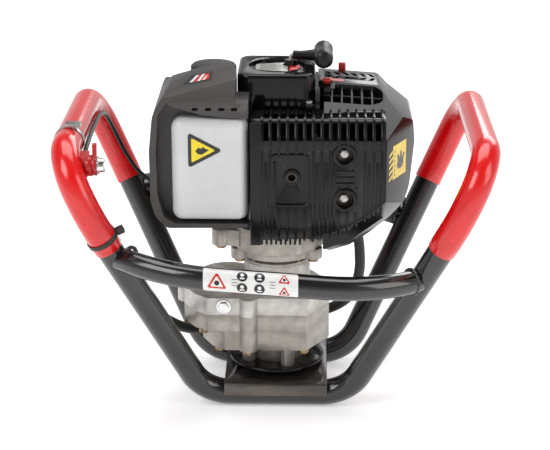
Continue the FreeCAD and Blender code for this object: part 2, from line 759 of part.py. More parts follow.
def make_clutch_housing():
    """A flanged cup on the gearbox's neck; two lugs carry the bolts up into the crankcase."""
    neck_top = "neck_top"
    body = turned("clutch_housing", [
        ("input_radius + 6", neck_top), ("neck_radius", neck_top),
        ("neck_radius", "neck_top + 4"), ("housing_neck", "neck_top + 4"),
        ("housing_neck", "flange_low"), ("flange_radius", "flange_low"),
        ("flange_radius", "flange_top"), ("drum_radius + 1.5", "flange_top"),
        ("drum_radius + 1.5", "flange_low + 4"), ("input_radius + 6", "flange_low + 4"),
    ])
    lugs = sketch_on(body, "XY_Plane", "flange_low - 2")
    for side_x in ("lug_x", "-lug_x"):
        for side_y in ("22", "-22"):
            circle(lugs, "lug_radius", side_x, side_y)
    pad(body, lugs, "flange_top - flange_low + 2")
    keep = sketch_on(body, "XY_Plane", "flange_top")
    circle(keep, "drum_radius + 1.5")
    pocket(body, keep, "flange_top - flange_low - 4")
    drill(body, LUG_PLACES, M6_HOLE, "flange_top", "flange_top - flange_low + 3")
    drill(body, NECK_SCREWS, M4_HOLE, "neck_top + 4", "5")
    piece(body, "clutch_housing")


LUG_PLACES = [(x, y) for x in ("lug_x", "-lug_x") for y in ("22", "-22")]


def make_clutch():
    drum = turned("clutch_drum", [
        ("input_radius", "drum_low"), ("drum_radius", "drum_low"), ("drum_radius", "drum_top"),
        ("drum_radius - drum_wall", "drum_top"), ("drum_radius - drum_wall", "drum_low + 3"),
        ("input_radius", "drum_low + 3"),
    ])
    piece(drum, "clutch_drum")
    ring = ring_solid("shoe_inner", "shoe_outer", "shoe_high - shoe_low", 0, 0, "shoe_low")
    halves = []
    for low, high in (("4", "60"), ("-60", "-4")):
        half = block(("-60", low, "shoe_low - 1"), ("60", high, "shoe_high + 1"))
        halves.append(common(ring, half))
    hub = cylinder("12", "shoe_high - shoe_low - 2", 0, 0, "shoe_low + 1")
    arms = block(("-30", "-3.5", "shoe_low + 2"), ("30", "3.5", "shoe_high - 2"))
    piece(cut(fuse(hub, arms), cylinder("journal", "30", 0, 0, "shoe_low - 5")), "clutch_rotor")
    springs = [cylinder("1.9", "8", side, "-4", "(shoe_low + shoe_high) / 2", "Y")
               for side in ("shoe_outer - 2.6", "2.6 - shoe_outer")]
    group("clutch_shoes", halves + springs)


# ---- engine ----------------------------------------------------------------------------------

def make_crankcase():
    body = turned("crankcase", [
        ("journal + 0.5", "bell_top - 6"), ("bell_hollow", "bell_top - 6"),
        ("bell_hollow", "flange_top"), ("bell_radius", "flange_top"),
        ("bell_radius", "bell_top"), ("chamber_radius", "bell_top + 6"),
        ("chamber_radius", "chamber_top"), ("journal + 0.5", "chamber_top"),
    ])
    neck = sketch_on(body, "YZ_Plane", "20")
    outline(neck, [("-32", "crank_z - 32"), ("32", "crank_z - 32"), ("32", "crank_z + 32"),
                   ("-32", "crank_z + 32")])
    pad(body, neck, "barrel_low - 20")
    ear = sketch_on(body, "XY_Plane", "flange_top + 4")
    for y in ("-24", "24"):
        circle(ear, "10", "-60", y)
    pad(body, ear, "18")
    web = sketch_on(body, "XY_Plane", "flange_top + 4")
    outline(web, [("-62", "-30"), ("-40", "-34"), ("-40", "34"), ("-62", "30")])
    pad(body, web, "18")
    well(body, "bell_hollow", 0, "bell_top - 6", "bell_top - 6 - flange_top")
    chamber = sketch_on(body, "XY_Plane", "crank_z + 21")
    circle(chamber, "chamber_hollow")
    pocket(body, chamber, "42")
    bore = sketch_on(body, "YZ_Plane", "barrel_low + 1")
    circle(bore, "bore_radius + 2", 0, "crank_z")
    pocket(body, bore, "barrel_low + 1")
    well(body, "15", 0, "chamber_top", "9")
    seat = sketch_on(body, "XY_Plane", "bell_top - 6")
    circle(seat, "15")
    pocket(body, seat, "9", towards_normal=True)
    lugs = sketch_on(body, "XY_Plane", "flange_top - 1")
    for x, y in LUG_PLACES:
        circle(lugs, M6_HOLE, x, y)
    pocket(body, lugs, "15", towards_normal=True)
    drill(body, EAR_PLACES, M6_HOLE, "flange_top + 22", "19")
    piece(body, "crankcase")


EAR_PLACES = [("-60", "24"), ("-60", "-24")]


def make_crank_train():
    """The crank held a quarter turn from dead centre, so that the piston is at mid-stroke."""
    low_web = "crank_z - web_gap / 2 - web_thick"
    high_web = "crank_z + web_gap / 2"
    crank = fuse(
        cylinder("journal", "%s - shoe_low + 3" % low_web, 0, 0, "shoe_low - 3"),
        cylinder("web_radius", "web_thick", 0, 0, low_web),
        cylinder("journal", "web_gap + 2", 0, "crank_throw", low_web + " + web_thick - 1"),
        cylinder("web_radius", "web_thick", 0, 0, high_web),
        cylinder("journal", "flywheel_low - (%s)" % high_web, 0, 0, high_web),
        cylinder("6", "flywheel_thick + 8", 0, 0, "flywheel_low - 1"),
    )
    piece(crank, "crankshaft")
    throw, length = size("crank_throw"), size("rod_length")
    pin_x = math.sqrt(length ** 2 - throw ** 2)
    lean = Rotation(Vector(0, 0, 1), -math.degrees(math.asin(throw / length)))
    half = "rod_thick / 2"
    big = cylinder("journal + 4.5", "rod_thick", 0, "crank_throw", "crank_z - " + half)
    little = cylinder("8.5", "rod_thick", pin_x, 0, "crank_z - " + half)
    beam = move(bind(doc.addObject("Part::Box", "Beam"), Length="rod_length - 6", Width="9",
                     Height="rod_thick - 5"))
    across = lean.multVec(Vector(3, -4.5, 0))
    move(beam, across.x, "crank_throw + %g" % across.y, "crank_z - (rod_thick - 5) / 2", lean)
    rod = cut(fuse(big, little, beam),
              cylinder("journal + run_fit", "30", 0, "crank_throw", "crank_z - 15"),
              cylinder("5 + run_fit", "30", pin_x, 0, "crank_z - 15"))
    piece(rod, "connecting_rod")
    crown = "%g + piston_above_pin" % pin_x
    solid = cylinder("piston_radius", "piston_height", crown + " - piston_height", 0, "crank_z",
                     "X")
    hollow = cylinder("piston_radius - 3.5", "piston_height - 5",
                      crown + " - piston_height - 0.5", 0, "crank_z", "X")
    pin_hole = cylinder("5", "60", pin_x, 0, "crank_z - 30")
    grooves = [cut(cylinder("23", "1.5", crown + " - %g" % back, 0, "crank_z", "X"),
                   cylinder("20.6", "1.5", crown + " - %g" % back, 0, "crank_z", "X"))
               for back in (4, 7.5)]
    pin = cylinder("5 - 0.02", "36", pin_x, 0, "crank_z - 18")
    group("piston", [cut(solid, hollow, pin_hole, *grooves), pin])
    bearings = []
    for z in ("bell_top - 6", "chamber_top - 9"):
        bearings.append(ring_solid("journal", "journal + 2.2", "9", 0, 0, z))
        bearings.append(ring_solid("12.8", "15", "9", 0, 0, z))
        for i in range(8):
            ball = bind(doc.addObject("Part::Sphere", "Ball"), Radius="1.25")
            bearings.append(move(ball, "11.5 * cos(%g)" % (45 * i), "11.5 * sin(%g)" % (45 * i),
                                 z + " + 4.5"))
    group("crank_bearings", bearings)


def make_cylinder():
    def fin(number, half):
        left = "barrel_low + 12 + %d * fin_pitch" % number
        plate = block((left, "-(%s)" % half, "crank_z - (%s)" % half),
                      (left + " + fin_thick", half, "crank_z + " + half))
        return rounded(plate, "8", lambda e: e.BoundBox.XLength > 1
                       and e.BoundBox.YLength < 0.01 and e.BoundBox.ZLength < 0.01)

    # the last two fins are smaller, where the shroud closes in
    count = int(size("fin_count"))
    fins = [fin(i, "fin_half" if i < count - 2 else "fin_half - 9") for i in range(count)]
    barrel = fuse(
        block(("barrel_low", "-30", "crank_z - 25"), ("barrel_low + 6", "30", "crank_z + 25")),
        cylinder("barrel_radius", "barrel_top - barrel_low", "barrel_low", 0, "crank_z", "X"),
        *fins,
        cylinder("11", "fin_half + 3.4", "66", "-fin_half - 3.4", "crank_z", "Y"),
        cylinder("11", "fin_half + 2", "62", "0", "crank_z", "Y"),
    )
    bored = cut(barrel,
                cylinder("bore_radius", "barrel_top - barrel_low - 5", "barrel_low - 1", 0,
                         "crank_z", "X"),
                cylinder("5.1", "30", "barrel_top - 15", 0, "crank_z", "X"),
                cylinder("7", "fin_half", "66", "-fin_half - 4", "crank_z", "Y"),
                cylinder("7", "fin_half", "62", "4", "crank_z", "Y"))
    piece(bored, "cylinder")
    plug = fuse(cylinder("5", "7", "barrel_top - 7", 0, "crank_z", "X"),
                hexagon("9.2", "7", "barrel_top", 0, "crank_z", "X"),
                cylinder("4.5", "10", "barrel_top + 6", 0, "crank_z", "X"))
    piece(plug, "spark_plug")
    boot = cut(rounded(cylinder("7.5", "16", "barrel_top + 8", 0, "crank_z", "X"), "3",
                       lambda e: e.BoundBox.XMin > value("barrel_top") + 20
                       and e.BoundBox.XLength < 0.01),
               cylinder("4.6", "10", "barrel_top + 7", 0, "crank_z", "X"))
    piece(boot, "plug_boot")


def make_flywheel():
    body = turned("flywheel", [
        ("6", "flywheel_low"), ("14", "flywheel_low"), ("14", "flywheel_low + 6"),
        ("flywheel_radius - 5", "flywheel_low + 6"), ("flywheel_radius - 5", "flywheel_low"),
        ("flywheel_radius", "flywheel_low"), ("flywheel_radius", "flywheel_low + 12"),
        ("6", "flywheel_low + 12"),
    ])
    blade = sketch_on(body, "XY_Plane", "flywheel_low + 12")
    outline(blade, [("18", "-1.2"), ("flywheel_radius - 1", "-1.2"),
                    ("flywheel_radius - 1", "1.2"), ("18", "1.2")])
    fin = pad(body, blade, "flywheel_thick - 12")
    around = body.newObject("PartDesign::PolarPattern", "PolarPattern")
    around.Originals = [fin]
    around.Axis = (blade, ["N_Axis"])
    around.Angle = 360
    around.Occurrences = 14
    body.Tip = around
    doc.recompute()
    piece(body, "flywheel")
    legs = [block((x, "flywheel_radius + 0.6", "flywheel_low"),
                  (x + " + 8", "flywheel_radius + 6", "flywheel_low + 10")) for x in ("-12", "4")]
    core = block(("-14", "flywheel_radius + 4", "flywheel_low - 2"),
                 ("14", "recoil_back - recoil_wall - 0.4", "flywheel_low + 14"))
    coil = fuse(core, *legs)
    piece(coil, "ignition_coil")


def make_muffler():
    shell = rounded(block(("-8", "guard_front + 8", "guard_low + 8"),
                          ("82", "-fin_half - 3.4", "guard_low + 98")), "9",
                    lambda e: e.BoundBox.YLength > 1 and e.BoundBox.XLength < 0.01)
    tail = cylinder("5.5", "10", "17", "guard_front + 9", "273", "-Y")
    piece(cut(fuse(shell, tail), cylinder("4", "20", "17", "guard_front + 14", "273", "-Y")),
          "muffler")


GUARD_HOLES = [("71", "297"), ("71", "249")]


make_clutch_housing()
make_hex_bolts()
make_clutch()
make_crankcase()
make_crank_train()
make_cylinder()
make_flywheel()
make_muffler()


# ---- shells ----------------------------------------------------------------------------------

def make_guard():
    """The ribbed plastic guard over the muffler, open at the back and below."""
    body = new_body()
    wall = "guard_wall"
    profile = [
        ("guard_back", "guard_top"), ("guard_shoulder_y", "guard_top"),
        ("guard_front", "guard_shoulder_z"), ("guard_front", "guard_low"),
        ("guard_front + guard_wall", "guard_low"),
        ("guard_front + guard_wall", "guard_shoulder_z - 1"),
        ("guard_shoulder_y + 1", "guard_top - guard_wall"),
        ("guard_back", "guard_top - guard_wall"),
    ]
    pad(body, outline(sketch_on(body, "YZ_Plane", "guard_left"), profile),
        "guard_right - guard_left")
    side = [("guard_back", "guard_top - 1"), ("guard_shoulder_y", "guard_top - 1"),
            ("guard_front + 1", "guard_shoulder_z"), ("guard_front + 1", "guard_low"),
            ("guard_back - 18", "guard_low"), ("guard_back", "guard_low + 60")]
    for lift in ("guard_left", "guard_right - guard_wall"):
        pad(body, outline(sketch_on(body, "YZ_Plane", lift), side), wall)
    sweep = sketch_on(body, "XZ_Plane", "-guard_front + 1")
    outline(sweep, [("guard_right + 1", "guard_low + 42"), ("guard_right - 14", "guard_low + 22"),
                    ("guard_right - 40", "guard_low + 8"), ("guard_right - 68", "guard_low - 1"),
                    ("guard_right + 1", "guard_low - 1")])
    pocket(body, sweep, "60")
    front = sketch_on(body, "XZ_Plane", "-guard_front + 1")
    circle(front, "8", "17", "273")
    for x, z in GUARD_HOLES:
        circle(front, "8.5", x, z)
    pocket(body, front, "guard_wall + 2")
    slot_row(body, sketch_on(body, "XZ_Plane", "-guard_front + 1"), "guard_shoulder_z - 2",
             "guard_top + 1", "16")
    slot_row(body, sketch_on(body, "XY_Plane", "guard_top + 1"), "guard_shoulder_y + 6",
             "guard_back - 4", "guard_wall + 2")
    piece(body, "muffler_guard")


def slot_row(body, sketch, low, high, depth):
    """A row of equal slots across the guard, patterned from the leftmost one."""
    left = "guard_left + 8"
    outline(sketch, [(left, low), (left + " + slot_width", low), (left + " + slot_width", high),
                     (left, high)])
    first = pocket(body, sketch, depth)
    row_pattern = body.newObject("PartDesign::LinearPattern", "LinearPattern")
    row_pattern.Originals = [first]
    row_pattern.Direction = (sketch, ["H_Axis"])
    row_pattern.setExpression("Length", formula("slot_pitch * (slot_count - 1)"))
    row_pattern.setExpression("Occurrences", formula("slot_count"))
    body.Tip = row_pattern
    doc.recompute()


def all_edges(edge):
    return edge.Length > 1


def make_tank():
    """An L-shaped moulded tank: full width at the front, narrow beside the crankcase."""
    def tank_solid(inset):
        grow = "(%s)" % inset
        front = rounded(block(
            ("tank_left + " + grow, "tank_front + " + grow, "tank_low + " + grow),
            ("tank_right - " + grow, "-46 - " + grow, "tank_top - " + grow)),
            "tank_corner - " + grow, all_edges)
        rear = rounded(block(
            ("tank_left + " + grow, "tank_front + " + grow, "tank_low + " + grow),
            ("-47 - " + grow, "tank_back - " + grow, "tank_top - " + grow)),
            "tank_corner - " + grow, all_edges)
        return fuse(front, rear)

    neck = cylinder("filler_radius", "cap_low + 8 - tank_top + 4", "filler_x", "filler_y",
                    "tank_top - 4")
    throat = cylinder("filler_radius - tank_wall", "40", "filler_x", "filler_y",
                      "tank_top - 12")
    shell = cut(fuse(tank_solid("0"), neck), tank_solid("tank_wall"), throat)
    piece(shell, "fuel_tank")

    cap = turned("fuel_cap", [
        ("0", "cap_top"), ("cap_radius - 2", "cap_top"), ("cap_radius", "cap_top - 2"),
        ("cap_radius", "cap_low"), ("filler_radius + 1.5", "cap_low"),
        ("filler_radius + 1.5", "cap_low + 9"), ("0", "cap_low + 9"),
    ])
    groove = sketch_on(cap, "XY_Plane", "cap_top + 1")
    circle(groove, "2.2", "cap_radius + 0.9", "0")
    first = pocket(cap, groove, "cap_top - cap_low - 2")
    around = cap.newObject("PartDesign::PolarPattern", "PolarPattern")
    around.Originals = [first]
    around.Axis = (groove, ["N_Axis"])
    around.Angle = 360
    around.Occurrences = 24
    cap.Tip = around
    move(cap, "filler_x", "filler_y", 0)
    piece(cap, "fuel_cap")


COVER_OUTLINE = [(-28, 336), (-28, 371), (-52, 374), (-112, 357), (-121, 346), (-127, 330),
                 (-129, 300), (-129, 247), (-125, 232), (-116, 219.5), (-108, 216), (-30, 217),
                 (-28, 219)]
TANK_WINDOW = [(-24, 337), (-109.5, 337), (-109.5, 232), (-104, 222), (-24, 222)]
SHROUD_OUTLINE = [(44, 352), (112, 346), (122, 340), (145, 325), (150, 296), (146, 245),
                  (125, 206), (100, 188), (78, 176), (56, 171), (46, 178), (44, 182)]

# three points in each flat facet cut from the shroud, and one outside it: the slope with the
# grille, the lower right corner and the edge below the guard
SHROUD_FACETS = [
    ((44, -12, 352), (112, -12, 346), (44, -46, 335), (44, -46, 400)),
    ((113.4, -88, 244), (77.6, -88, 218), (123, -30, 212), (150, -88, 150)),
    ((44.5, -88, 206), (77.6, -88, 218), (79.5, -30, 179), (60, -88, 150)),
]


def xz_face(points, inset, y):
    """A flat face across Y with straight edges, shrunk by an inset all round."""
    corners = [Vector(x, y, z) for x, z in points]
    wire = Part.Wire(Part.makePolygon(corners + corners[:1]))
    face = Part.Face(wire)
    return face if inset == 0 else face.makeOffset2D(-inset, 2)


def along_y(points, inset, front, back):
    return xz_face(points, inset, front).extrude(Vector(0, back - front, 0))


def beyond(a, b, c, outside, inset):
    """A large solid on the outer side of the plane through three points, set back by an inset."""
    a, b, c, outside = (Vector(*point) for point in (a, b, c, outside))
    normal = (b - a).cross(c - a).normalize()
    if normal.dot(outside - a) < 0:
        normal = normal * -1
    side = (b - a).normalize() * 300
    up = normal.cross(side)
    start = a - normal * inset
    corners = [start - side - up, start + side - up, start + side + up, start - side + up]
    return Part.Face(Part.makePolygon(corners + corners[:1])).extrude(normal * 300)


def make_tank_cover():
    """The cover over the tank: a thick-edged shell, open in front where the tank shows."""
    wall = size("cover_wall")
    front, back = size("cover_front"), size("cover_back")
    outer = shaped(along_y(COVER_OUTLINE, 0, front, back))
    inner = shaped(along_y(COVER_OUTLINE, wall, front + wall, back + 1))
    # the roof rises from the front eave to a ridge, and drops behind it for the cap
    above = [Vector(0, front - 1, 354), Vector(0, -22, 372), Vector(0, -14, 346.5),
             Vector(0, back + 1, 346.5), Vector(0, back + 1, 400), Vector(0, front - 1, 400)]
    roof = Part.Face(Part.makePolygon(above + above[:1])).extrude(Vector(140, 0, 0))
    roof.translate(Vector(-140, 0, 0))
    lowered = roof.copy()
    lowered.translate(Vector(0, 0, -wall))
    shell = cut(cut(outer, shaped(roof)), cut(inner, shaped(lowered)))
    window = shaped(along_y(TANK_WINDOW, 0, front - 1, front + 60))
    beside = block(("-44", "recoil_front - 1", "210"), ("-20", "cover_back + 2", "400"))
    filler = cylinder("filler_radius + 1", "60", "filler_x", "filler_y", "tank_top - 10")
    vents = [block(("%g" % x, "cover_front - 1", "343"), ("%g + 6" % x, "cover_front + 4", "345"))
             for x in (-85, -71, -58, -44)]
    step = block(("-42", "cover_front - 1", "351"), ("-20", "cover_back + 2", "400"))
    ear = cylinder("8", "12", "-ear_x", "recoil_front - ear_out", "guard_top - 1")
    piece(cut(shell, window, beside, filler, step, ear, *vents), "tank_cover")


def make_shroud():
    """The shroud over the cylinder, faceted at its front right corner."""
    wall = size("shroud_wall")
    front, back = size("shroud_front"), size("shroud_back")

    def filled(inset):
        solid = along_y(SHROUD_OUTLINE, inset, front + inset, back - inset)
        corner = [Vector(size("guard_right") + 0.5 - inset, front - 1, 0),
                  Vector(160, front - 1, 0), Vector(160, -22 - inset, 0)]
        wedge = Part.Face(Part.makePolygon(corner + corner[:1])).extrude(Vector(0, 0, 500))
        facets = [beyond(*plane, inset) for plane in SHROUD_FACETS]
        return cut(shaped(solid), shaped(wedge), *[shaped(facet) for facet in facets])

    open_left = block(("40", "shroud_front + shroud_wall", "168"),
                      ("50", "shroud_back - shroud_wall", "349"))
    muffler_side = block(("40", "shroud_front - 5", "168"),
                         ("guard_right + 0.5", "-fin_half - 4", "360"))
    bell = cylinder("bell_radius + 5", "42", 0, 0, "bell_top - 32")
    carb = block(("35", "shroud_back - 6", "205"), ("86", "shroud_back + 2", "255"))
    lead = cylinder("loom_radius + 1.5", "40", "88", "-6", "160")
    grille = []
    for i in range(6):
        x = 48.5 + 10.6 * i
        grille.append(block(("%g" % x, "-42", "325"), ("%g" % (x + 8), "-16", "360")))
    for i in range(5):
        x = 61 + 9.5 * i
        grille.append(block(("%g" % x, "-2", "335"), ("%g" % (x + 6), "18", "360")))
    button = block(("50.7", "-11.3", "340"), ("55.3", "-7.7", "360"))
    shell = cut(filled(0), filled(wall), open_left, muffler_side, bell, carb, lead, button,
                *grille)
    piece(shell, "cylinder_shroud")


# ---- recoil starter --------------------------------------------------------------------------

def make_recoil():
    def housing_solid(inset, low, high):
        grow = "(%s)" % inset
        return rounded(block(("-recoil_half_x + " + grow, "recoil_front + " + grow, low),
                             ("recoil_half_x - " + grow, "recoil_back - " + grow, high)),
                       "recoil_corner - " + grow, upright)

    outside = housing_solid("0", "chamber_top", "recoil_top")
    top = value("recoil_top")
    outside = rounded(outside, "4", lambda e: abs(e.BoundBox.ZMin - top) < 0.01
                      and e.BoundBox.ZLength < 0.01)
    guide = cylinder("6.5", "4 + recess_deep", "rope_x", "rope_y", "recoil_top - recess_deep - 1")
    ears = [cylinder("7", "6", x, "recoil_front - ear_out", "guard_top + 1.5")
            for x in ("-ear_x", "ear_x")]
    post = cylinder("6", "recoil_top - recoil_wall - 316", 0, 0, "316")
    shell = cut(fuse(outside, *ears), cylinder("recess_radius", "recess_deep + 1", 0, "recess_y",
                                               "recoil_top - recess_deep"))
    housing = cut(fuse(shell, guide),
                  housing_solid("recoil_wall", "chamber_top - 1",
                                "recoil_top - recoil_wall - recess_deep"),
                  cylinder("rope_radius + 0.4", "30", "rope_x", "rope_y", "recoil_top - 20"),
                  *[cylinder("2.2", "12", x, "recoil_front - ear_out", "guard_top")
                    for x in ("-ear_x", "ear_x")])
    piece(fuse(housing, post), "recoil_housing")
    screws = [fuse(cylinder("2", "7", x, "recoil_front - ear_out", "guard_top + 1.8"),
                   cylinder("4.2", "3", x, "recoil_front - ear_out", "guard_top + 7.5"))
              for x in ("-ear_x", "ear_x")]
    screws += [hexagon("4.6", "4", x, "guard_front + 8", z, "-Y") for x, z in GUARD_HOLES]
    group("cover_screws", screws)

    reel = turned("recoil_reel", [
        ("6 + run_fit", "320"), ("reel_radius + 3", "320"), ("reel_radius + 3", "322"),
        ("reel_radius - 6", "322"), ("reel_radius - 6", "330"), ("reel_radius + 3", "330"),
        ("reel_radius + 3", "332"), ("6 + run_fit", "332"),
    ])
    piece(reel, "recoil_reel")
    winding = []
    for layer in range(2):
        for turn in range(2):
            coil = bind(doc.addObject("Part::Torus", "Turn"), Radius2="rope_radius")
            radius = "reel_radius - 6 + rope_radius + 0.1 + %d * 2.05 * rope_radius" % layer
            coil.setExpression("Radius1", formula(radius))
            winding.append(move(coil, 0, 0, "324 + %d * 3.9" % turn))
    group("starter_rope", winding)
    piece(ring_solid("14", "26", "8", 0, 0, "336"), "recoil_spring")

    tilt = Rotation(Vector(0, 1, 0), -size("pull_tilt"))
    stem = cone("6", "8.2", "grip_reach - 4", "4", 0, 0, "X")
    bar = rounded(cylinder("grip_radius", "grip_length", "grip_reach", "-grip_length / 2", 0,
                           "Y"), "4", lambda e: e.BoundBox.YLength < 0.01)
    collar = cylinder("4.2", "5", "0", 0, 0, "X")
    grip = fuse(stem, bar, collar)
    move(grip, "rope_x", "rope_y", "recoil_top + 9.4", tilt)
    piece(grip, "starter_grip")


# ---- air side and fuel lines -----------------------------------------------------------------

def make_air_side():
    low, high = "filter_low", "filter_high"
    base = block(("filter_left", "67", low), ("filter_right", "filter_joint_y", high))
    horn = cylinder("9", "20", "62", "66", "232", "Y")
    pin = fuse(cylinder("2.5", "15.5", "70", "52", "286", "Y"),
               cylinder("4.5", "2", "70", "49.8", "286", "Y"))
    piece(fuse(cut(rounded(base, "6", lengthwise_edge), horn), pin), "air_filter_base")
    hood = rounded(block(("filter_left", "filter_joint_y + 0.2", low),
                         ("filter_right", "filter_back", high)), "6", lengthwise_edge)
    room = block(("filter_left + filter_wall", "filter_joint_y", low + " + filter_wall"),
                 ("filter_right - filter_wall", "filter_back - filter_wall",
                  high + " - filter_wall"))
    vents = [block(("filter_left + 14 + %d * 9" % i, "filter_back - 5", "filter_low + 14"),
                   ("filter_left + 18 + %d * 9" % i, "filter_back + 1", "filter_low + 44"))
             for i in range(6)]
    piece(block(("filter_left + 6", "filter_joint_y + 1", "filter_low + 6"),
                ("filter_right - 6", "filter_back - 8", "filter_high - 30")),
          "air_filter_element")
    knob = fuse(cylinder("3", "30", "58", "filter_joint_y + 0.5", "284", "Y"),
                rounded(cylinder("10", "7", "58", "filter_back + 0.2", "284", "Y"), "2",
                        lambda e: e.BoundBox.YMin > value("filter_back") + 7
                        and e.BoundBox.YLength < 0.01))
    piece(fuse(cut(hood, room, *vents), knob), "air_filter_cover")
    spacer = block(("48", "fin_half + 2.1", "215"), ("76", "49", "243"))
    body = fuse(spacer, block(("47", "49", "214"), ("77", "66.9", "247")),
                cylinder("9", "12", "62", "58", "204"))
    carb = cut(body, cylinder("7", "40", "62", "fin_half", "229", "Y"),
               cylinder("10.4", "10", "46", "58", "229", "X"))
    piece(carb, "carburettor")
    bulb = rounded(cylinder("8.5", "9", "42.5", "58", "229", "X"), "3.5",
                   lambda e: e.BoundBox.XMax < 43 and e.BoundBox.XLength < 0.01)
    piece(bulb, "primer_bulb")
    lever = fuse(block(("67", "52", "286"), ("73", "55", "341")),
                 cylinder("6", "3", "70", "52", "286", "Y"),
                 rounded(block(("66", "50.5", "340"), ("74", "56.5", "358")), "2", upright))
    shank = cylinder("2.55", "20", "70", "50", "286", "Y")
    piece(cut(lever, shank), "choke_lever")
    lines = []
    for lift, out in ((0.0, 0.0), (12.0, 4.0)):
        route = [Vector(-62, 26, 250 + lift), Vector(-62, 44, 250 + lift),
                 Vector(-48, 58 + out, 250 + lift), Vector(-14, 64 + out, 246 + lift),
                 Vector(14, 61, 242 + lift), Vector(46.2, 63.5, 239 + 0.43 * lift)]
        lines.append(shaped(rod_along(bent_path(route, even_radii(route)), 2.2)))
    group("fuel_lines", lines)


def lengthwise_edge(edge):
    span = edge.BoundBox
    return span.YLength > 1 and span.XLength < 0.01 and span.ZLength < 0.01


# ---- controls and lines on the left handle ---------------------------------------------------

LOOM_ROUTE = [(88, -6, 186), (91, -3, 160), (91, 8, 130), (84, 24, 100), (66, 48, 74),
              (34, 66, 56), (-6, 70, 50), (-46, 66, 48), (-78, 46, 50), (-98, 12, 60),
              (-116, -22, 82), (-134, -56, 112), (-150, -75, 148), (-164, -85, 184),
              (-178, -92.5, 214), (-190.5, -98, 243), (-198, -98, 262), (-199, -97, 279.2)]
CABLE_ROUTE = [(-197, -89.2, 293.5), (-196.5, -72, 298), (-196.5, -36, 301), (-196.5, 6, 301),
               (-196.5, 48, 300), (-195, 82, 293), (-188, 101, 268), (-176, 104, 238),
               (-158, 102, 211), (-122, 97, 199), (-84, 90, 205), (-50, 86, 232),
               (-20, 80, 262), (10, 60, 276), (34, 56, 276), (54, 56.5, 268), (61.6, 57, 248.2)]


def make_cord(label, route, radius):
    points = [Vector(*p) for p in route]
    radii = even_radii(points)
    print(label, "arc radii:", " ".join("%.0f" % r for r in radii))
    piece(shaped(rod_along(bent_path(points, radii), radius)), label)


def strap(leg_radius, cord_radius, apart, thick, wide):
    """A band pulled tight round a tube and a cord lying beside it."""
    turn = math.acos((leg_radius - cord_radius) / apart)
    near = Vector(math.cos(turn), math.sin(turn), 0)
    far = Vector(near.x, -near.y, 0)
    beside = Vector(apart, 0, 0)
    edges = [
        Part.Arc(near * leg_radius, Vector(-leg_radius, 0, 0), far * leg_radius).toShape(),
        Part.LineSegment(far * leg_radius, beside + far * cord_radius).toShape(),
        Part.Arc(beside + far * cord_radius, beside + Vector(cord_radius, 0, 0),
                 beside + near * cord_radius).toShape(),
        Part.LineSegment(beside + near * cord_radius, near * leg_radius).toShape(),
    ]
    inside = Part.Face(Part.Wire(edges))
    band = inside.makeOffset2D(thick).cut(inside)
    return band.extrude(Vector(0, 0, wide))


def make_handle_controls():
    sleeve_out = size("tube_radius") + size("sleeve_play") + size("sleeve_wall")
    bends = [size("leg_bend"), size("grip_bend"), size("grip_bend"), size("leg_bend")]
    clear = shaped(rod_along(bent_path(sleeve_points(-1), bends), sleeve_out + 0.05))
    housing = fuse(rounded(block(("-210", "-114", "280"), ("-190", "-90", "301")), "3", upright),
                   cylinder("11", "6", "-192", "-106", "290", "X"))
    piece(cut(housing, clear, cylinder("2.6", "20", "-195.5", "-106", "290", "X")),
          "throttle_housing")
    tab = rounded(block(("-185.5", "-110", "298"), ("-181.2", "-102", "313")), "1.5", upright)
    lever = fuse(cylinder("10.5", "4.3", "-185.5", "-106", "290", "X"), tab)
    piece(cut(lever, cylinder("2.55", "20", "-195", "-106", "290", "X")), "throttle_lever")
    pivot = fuse(cylinder("2.5", "17", "-195", "-106", "290", "X"),
                 cylinder("9", "1.5", "-180.7", "-106", "290", "X"),
                 rounded(cylinder("7.5", "6", "-179.2", "-106", "290", "X"), "1.5",
                         lambda e: e.BoundBox.XMin > -174 and e.BoundBox.XLength < 0.01))
    piece(pivot, "throttle_pivot")

    clamp = fuse(ring_solid("%g" % (sleeve_out + 0.05), "%g" % (sleeve_out + 0.9), "9",
                            "-grip_x", "-66", "grip_z", "Y"),
                 block(("-grip_x - 3", "-68", "grip_z + 15.9"),
                       ("-grip_x + 13", "-56", "grip_z + 20")))
    piece(cut(clamp, clear), "throttle_clamp")

    make_cord("wiring_loom", LOOM_ROUTE, size("loom_radius"))
    make_cord("throttle_cable", CABLE_ROUTE, size("cable_radius"))

    loom_low, loom_high = Vector(*LOOM_ROUTE[13]), Vector(*LOOM_ROUTE[14])
    height = 213.0
    share = (height - loom_low.z) / (loom_high.z - loom_low.z)
    loom_at = loom_low + (loom_high - loom_low) * share
    leg_at = leg_point(-1, height)
    upward = (leg_point(-1, height + 10) - leg_point(-1, height - 10)).normalize()
    towards = loom_at - leg_at
    towards = towards - upward * towards.dot(upward)
    inside, thick = sleeve_out + 0.1, 1.3
    band = strap(inside, size("loom_radius") + 1.5, towards.Length, thick, 5)
    buckle = Part.makeBox(7, 8, 7, Vector(-3.5, -inside - thick - 7.9, -1))
    shape = band.fuse(buckle)
    side = upward.cross(towards.normalize())
    frame = FreeCAD.Matrix(towards.x, side.x, upward.x, leg_at.x,
                           towards.y, side.y, upward.y, leg_at.y,
                           towards.z, side.z, upward.z, leg_at.z, 0, 0, 0, 1)
    tie = shaped(shape)
    tie.Placement = Placement(frame)
    piece(tie, "cable_tie")

    button = rounded(block(("48.5", "-13.5", "353.4"), ("57.5", "-5.5", "357.4")), "1.2", upright)
    stem = block(("51", "-11", "345"), ("55", "-8", "354"))
    piece(fuse(button, stem), "stop_switch")


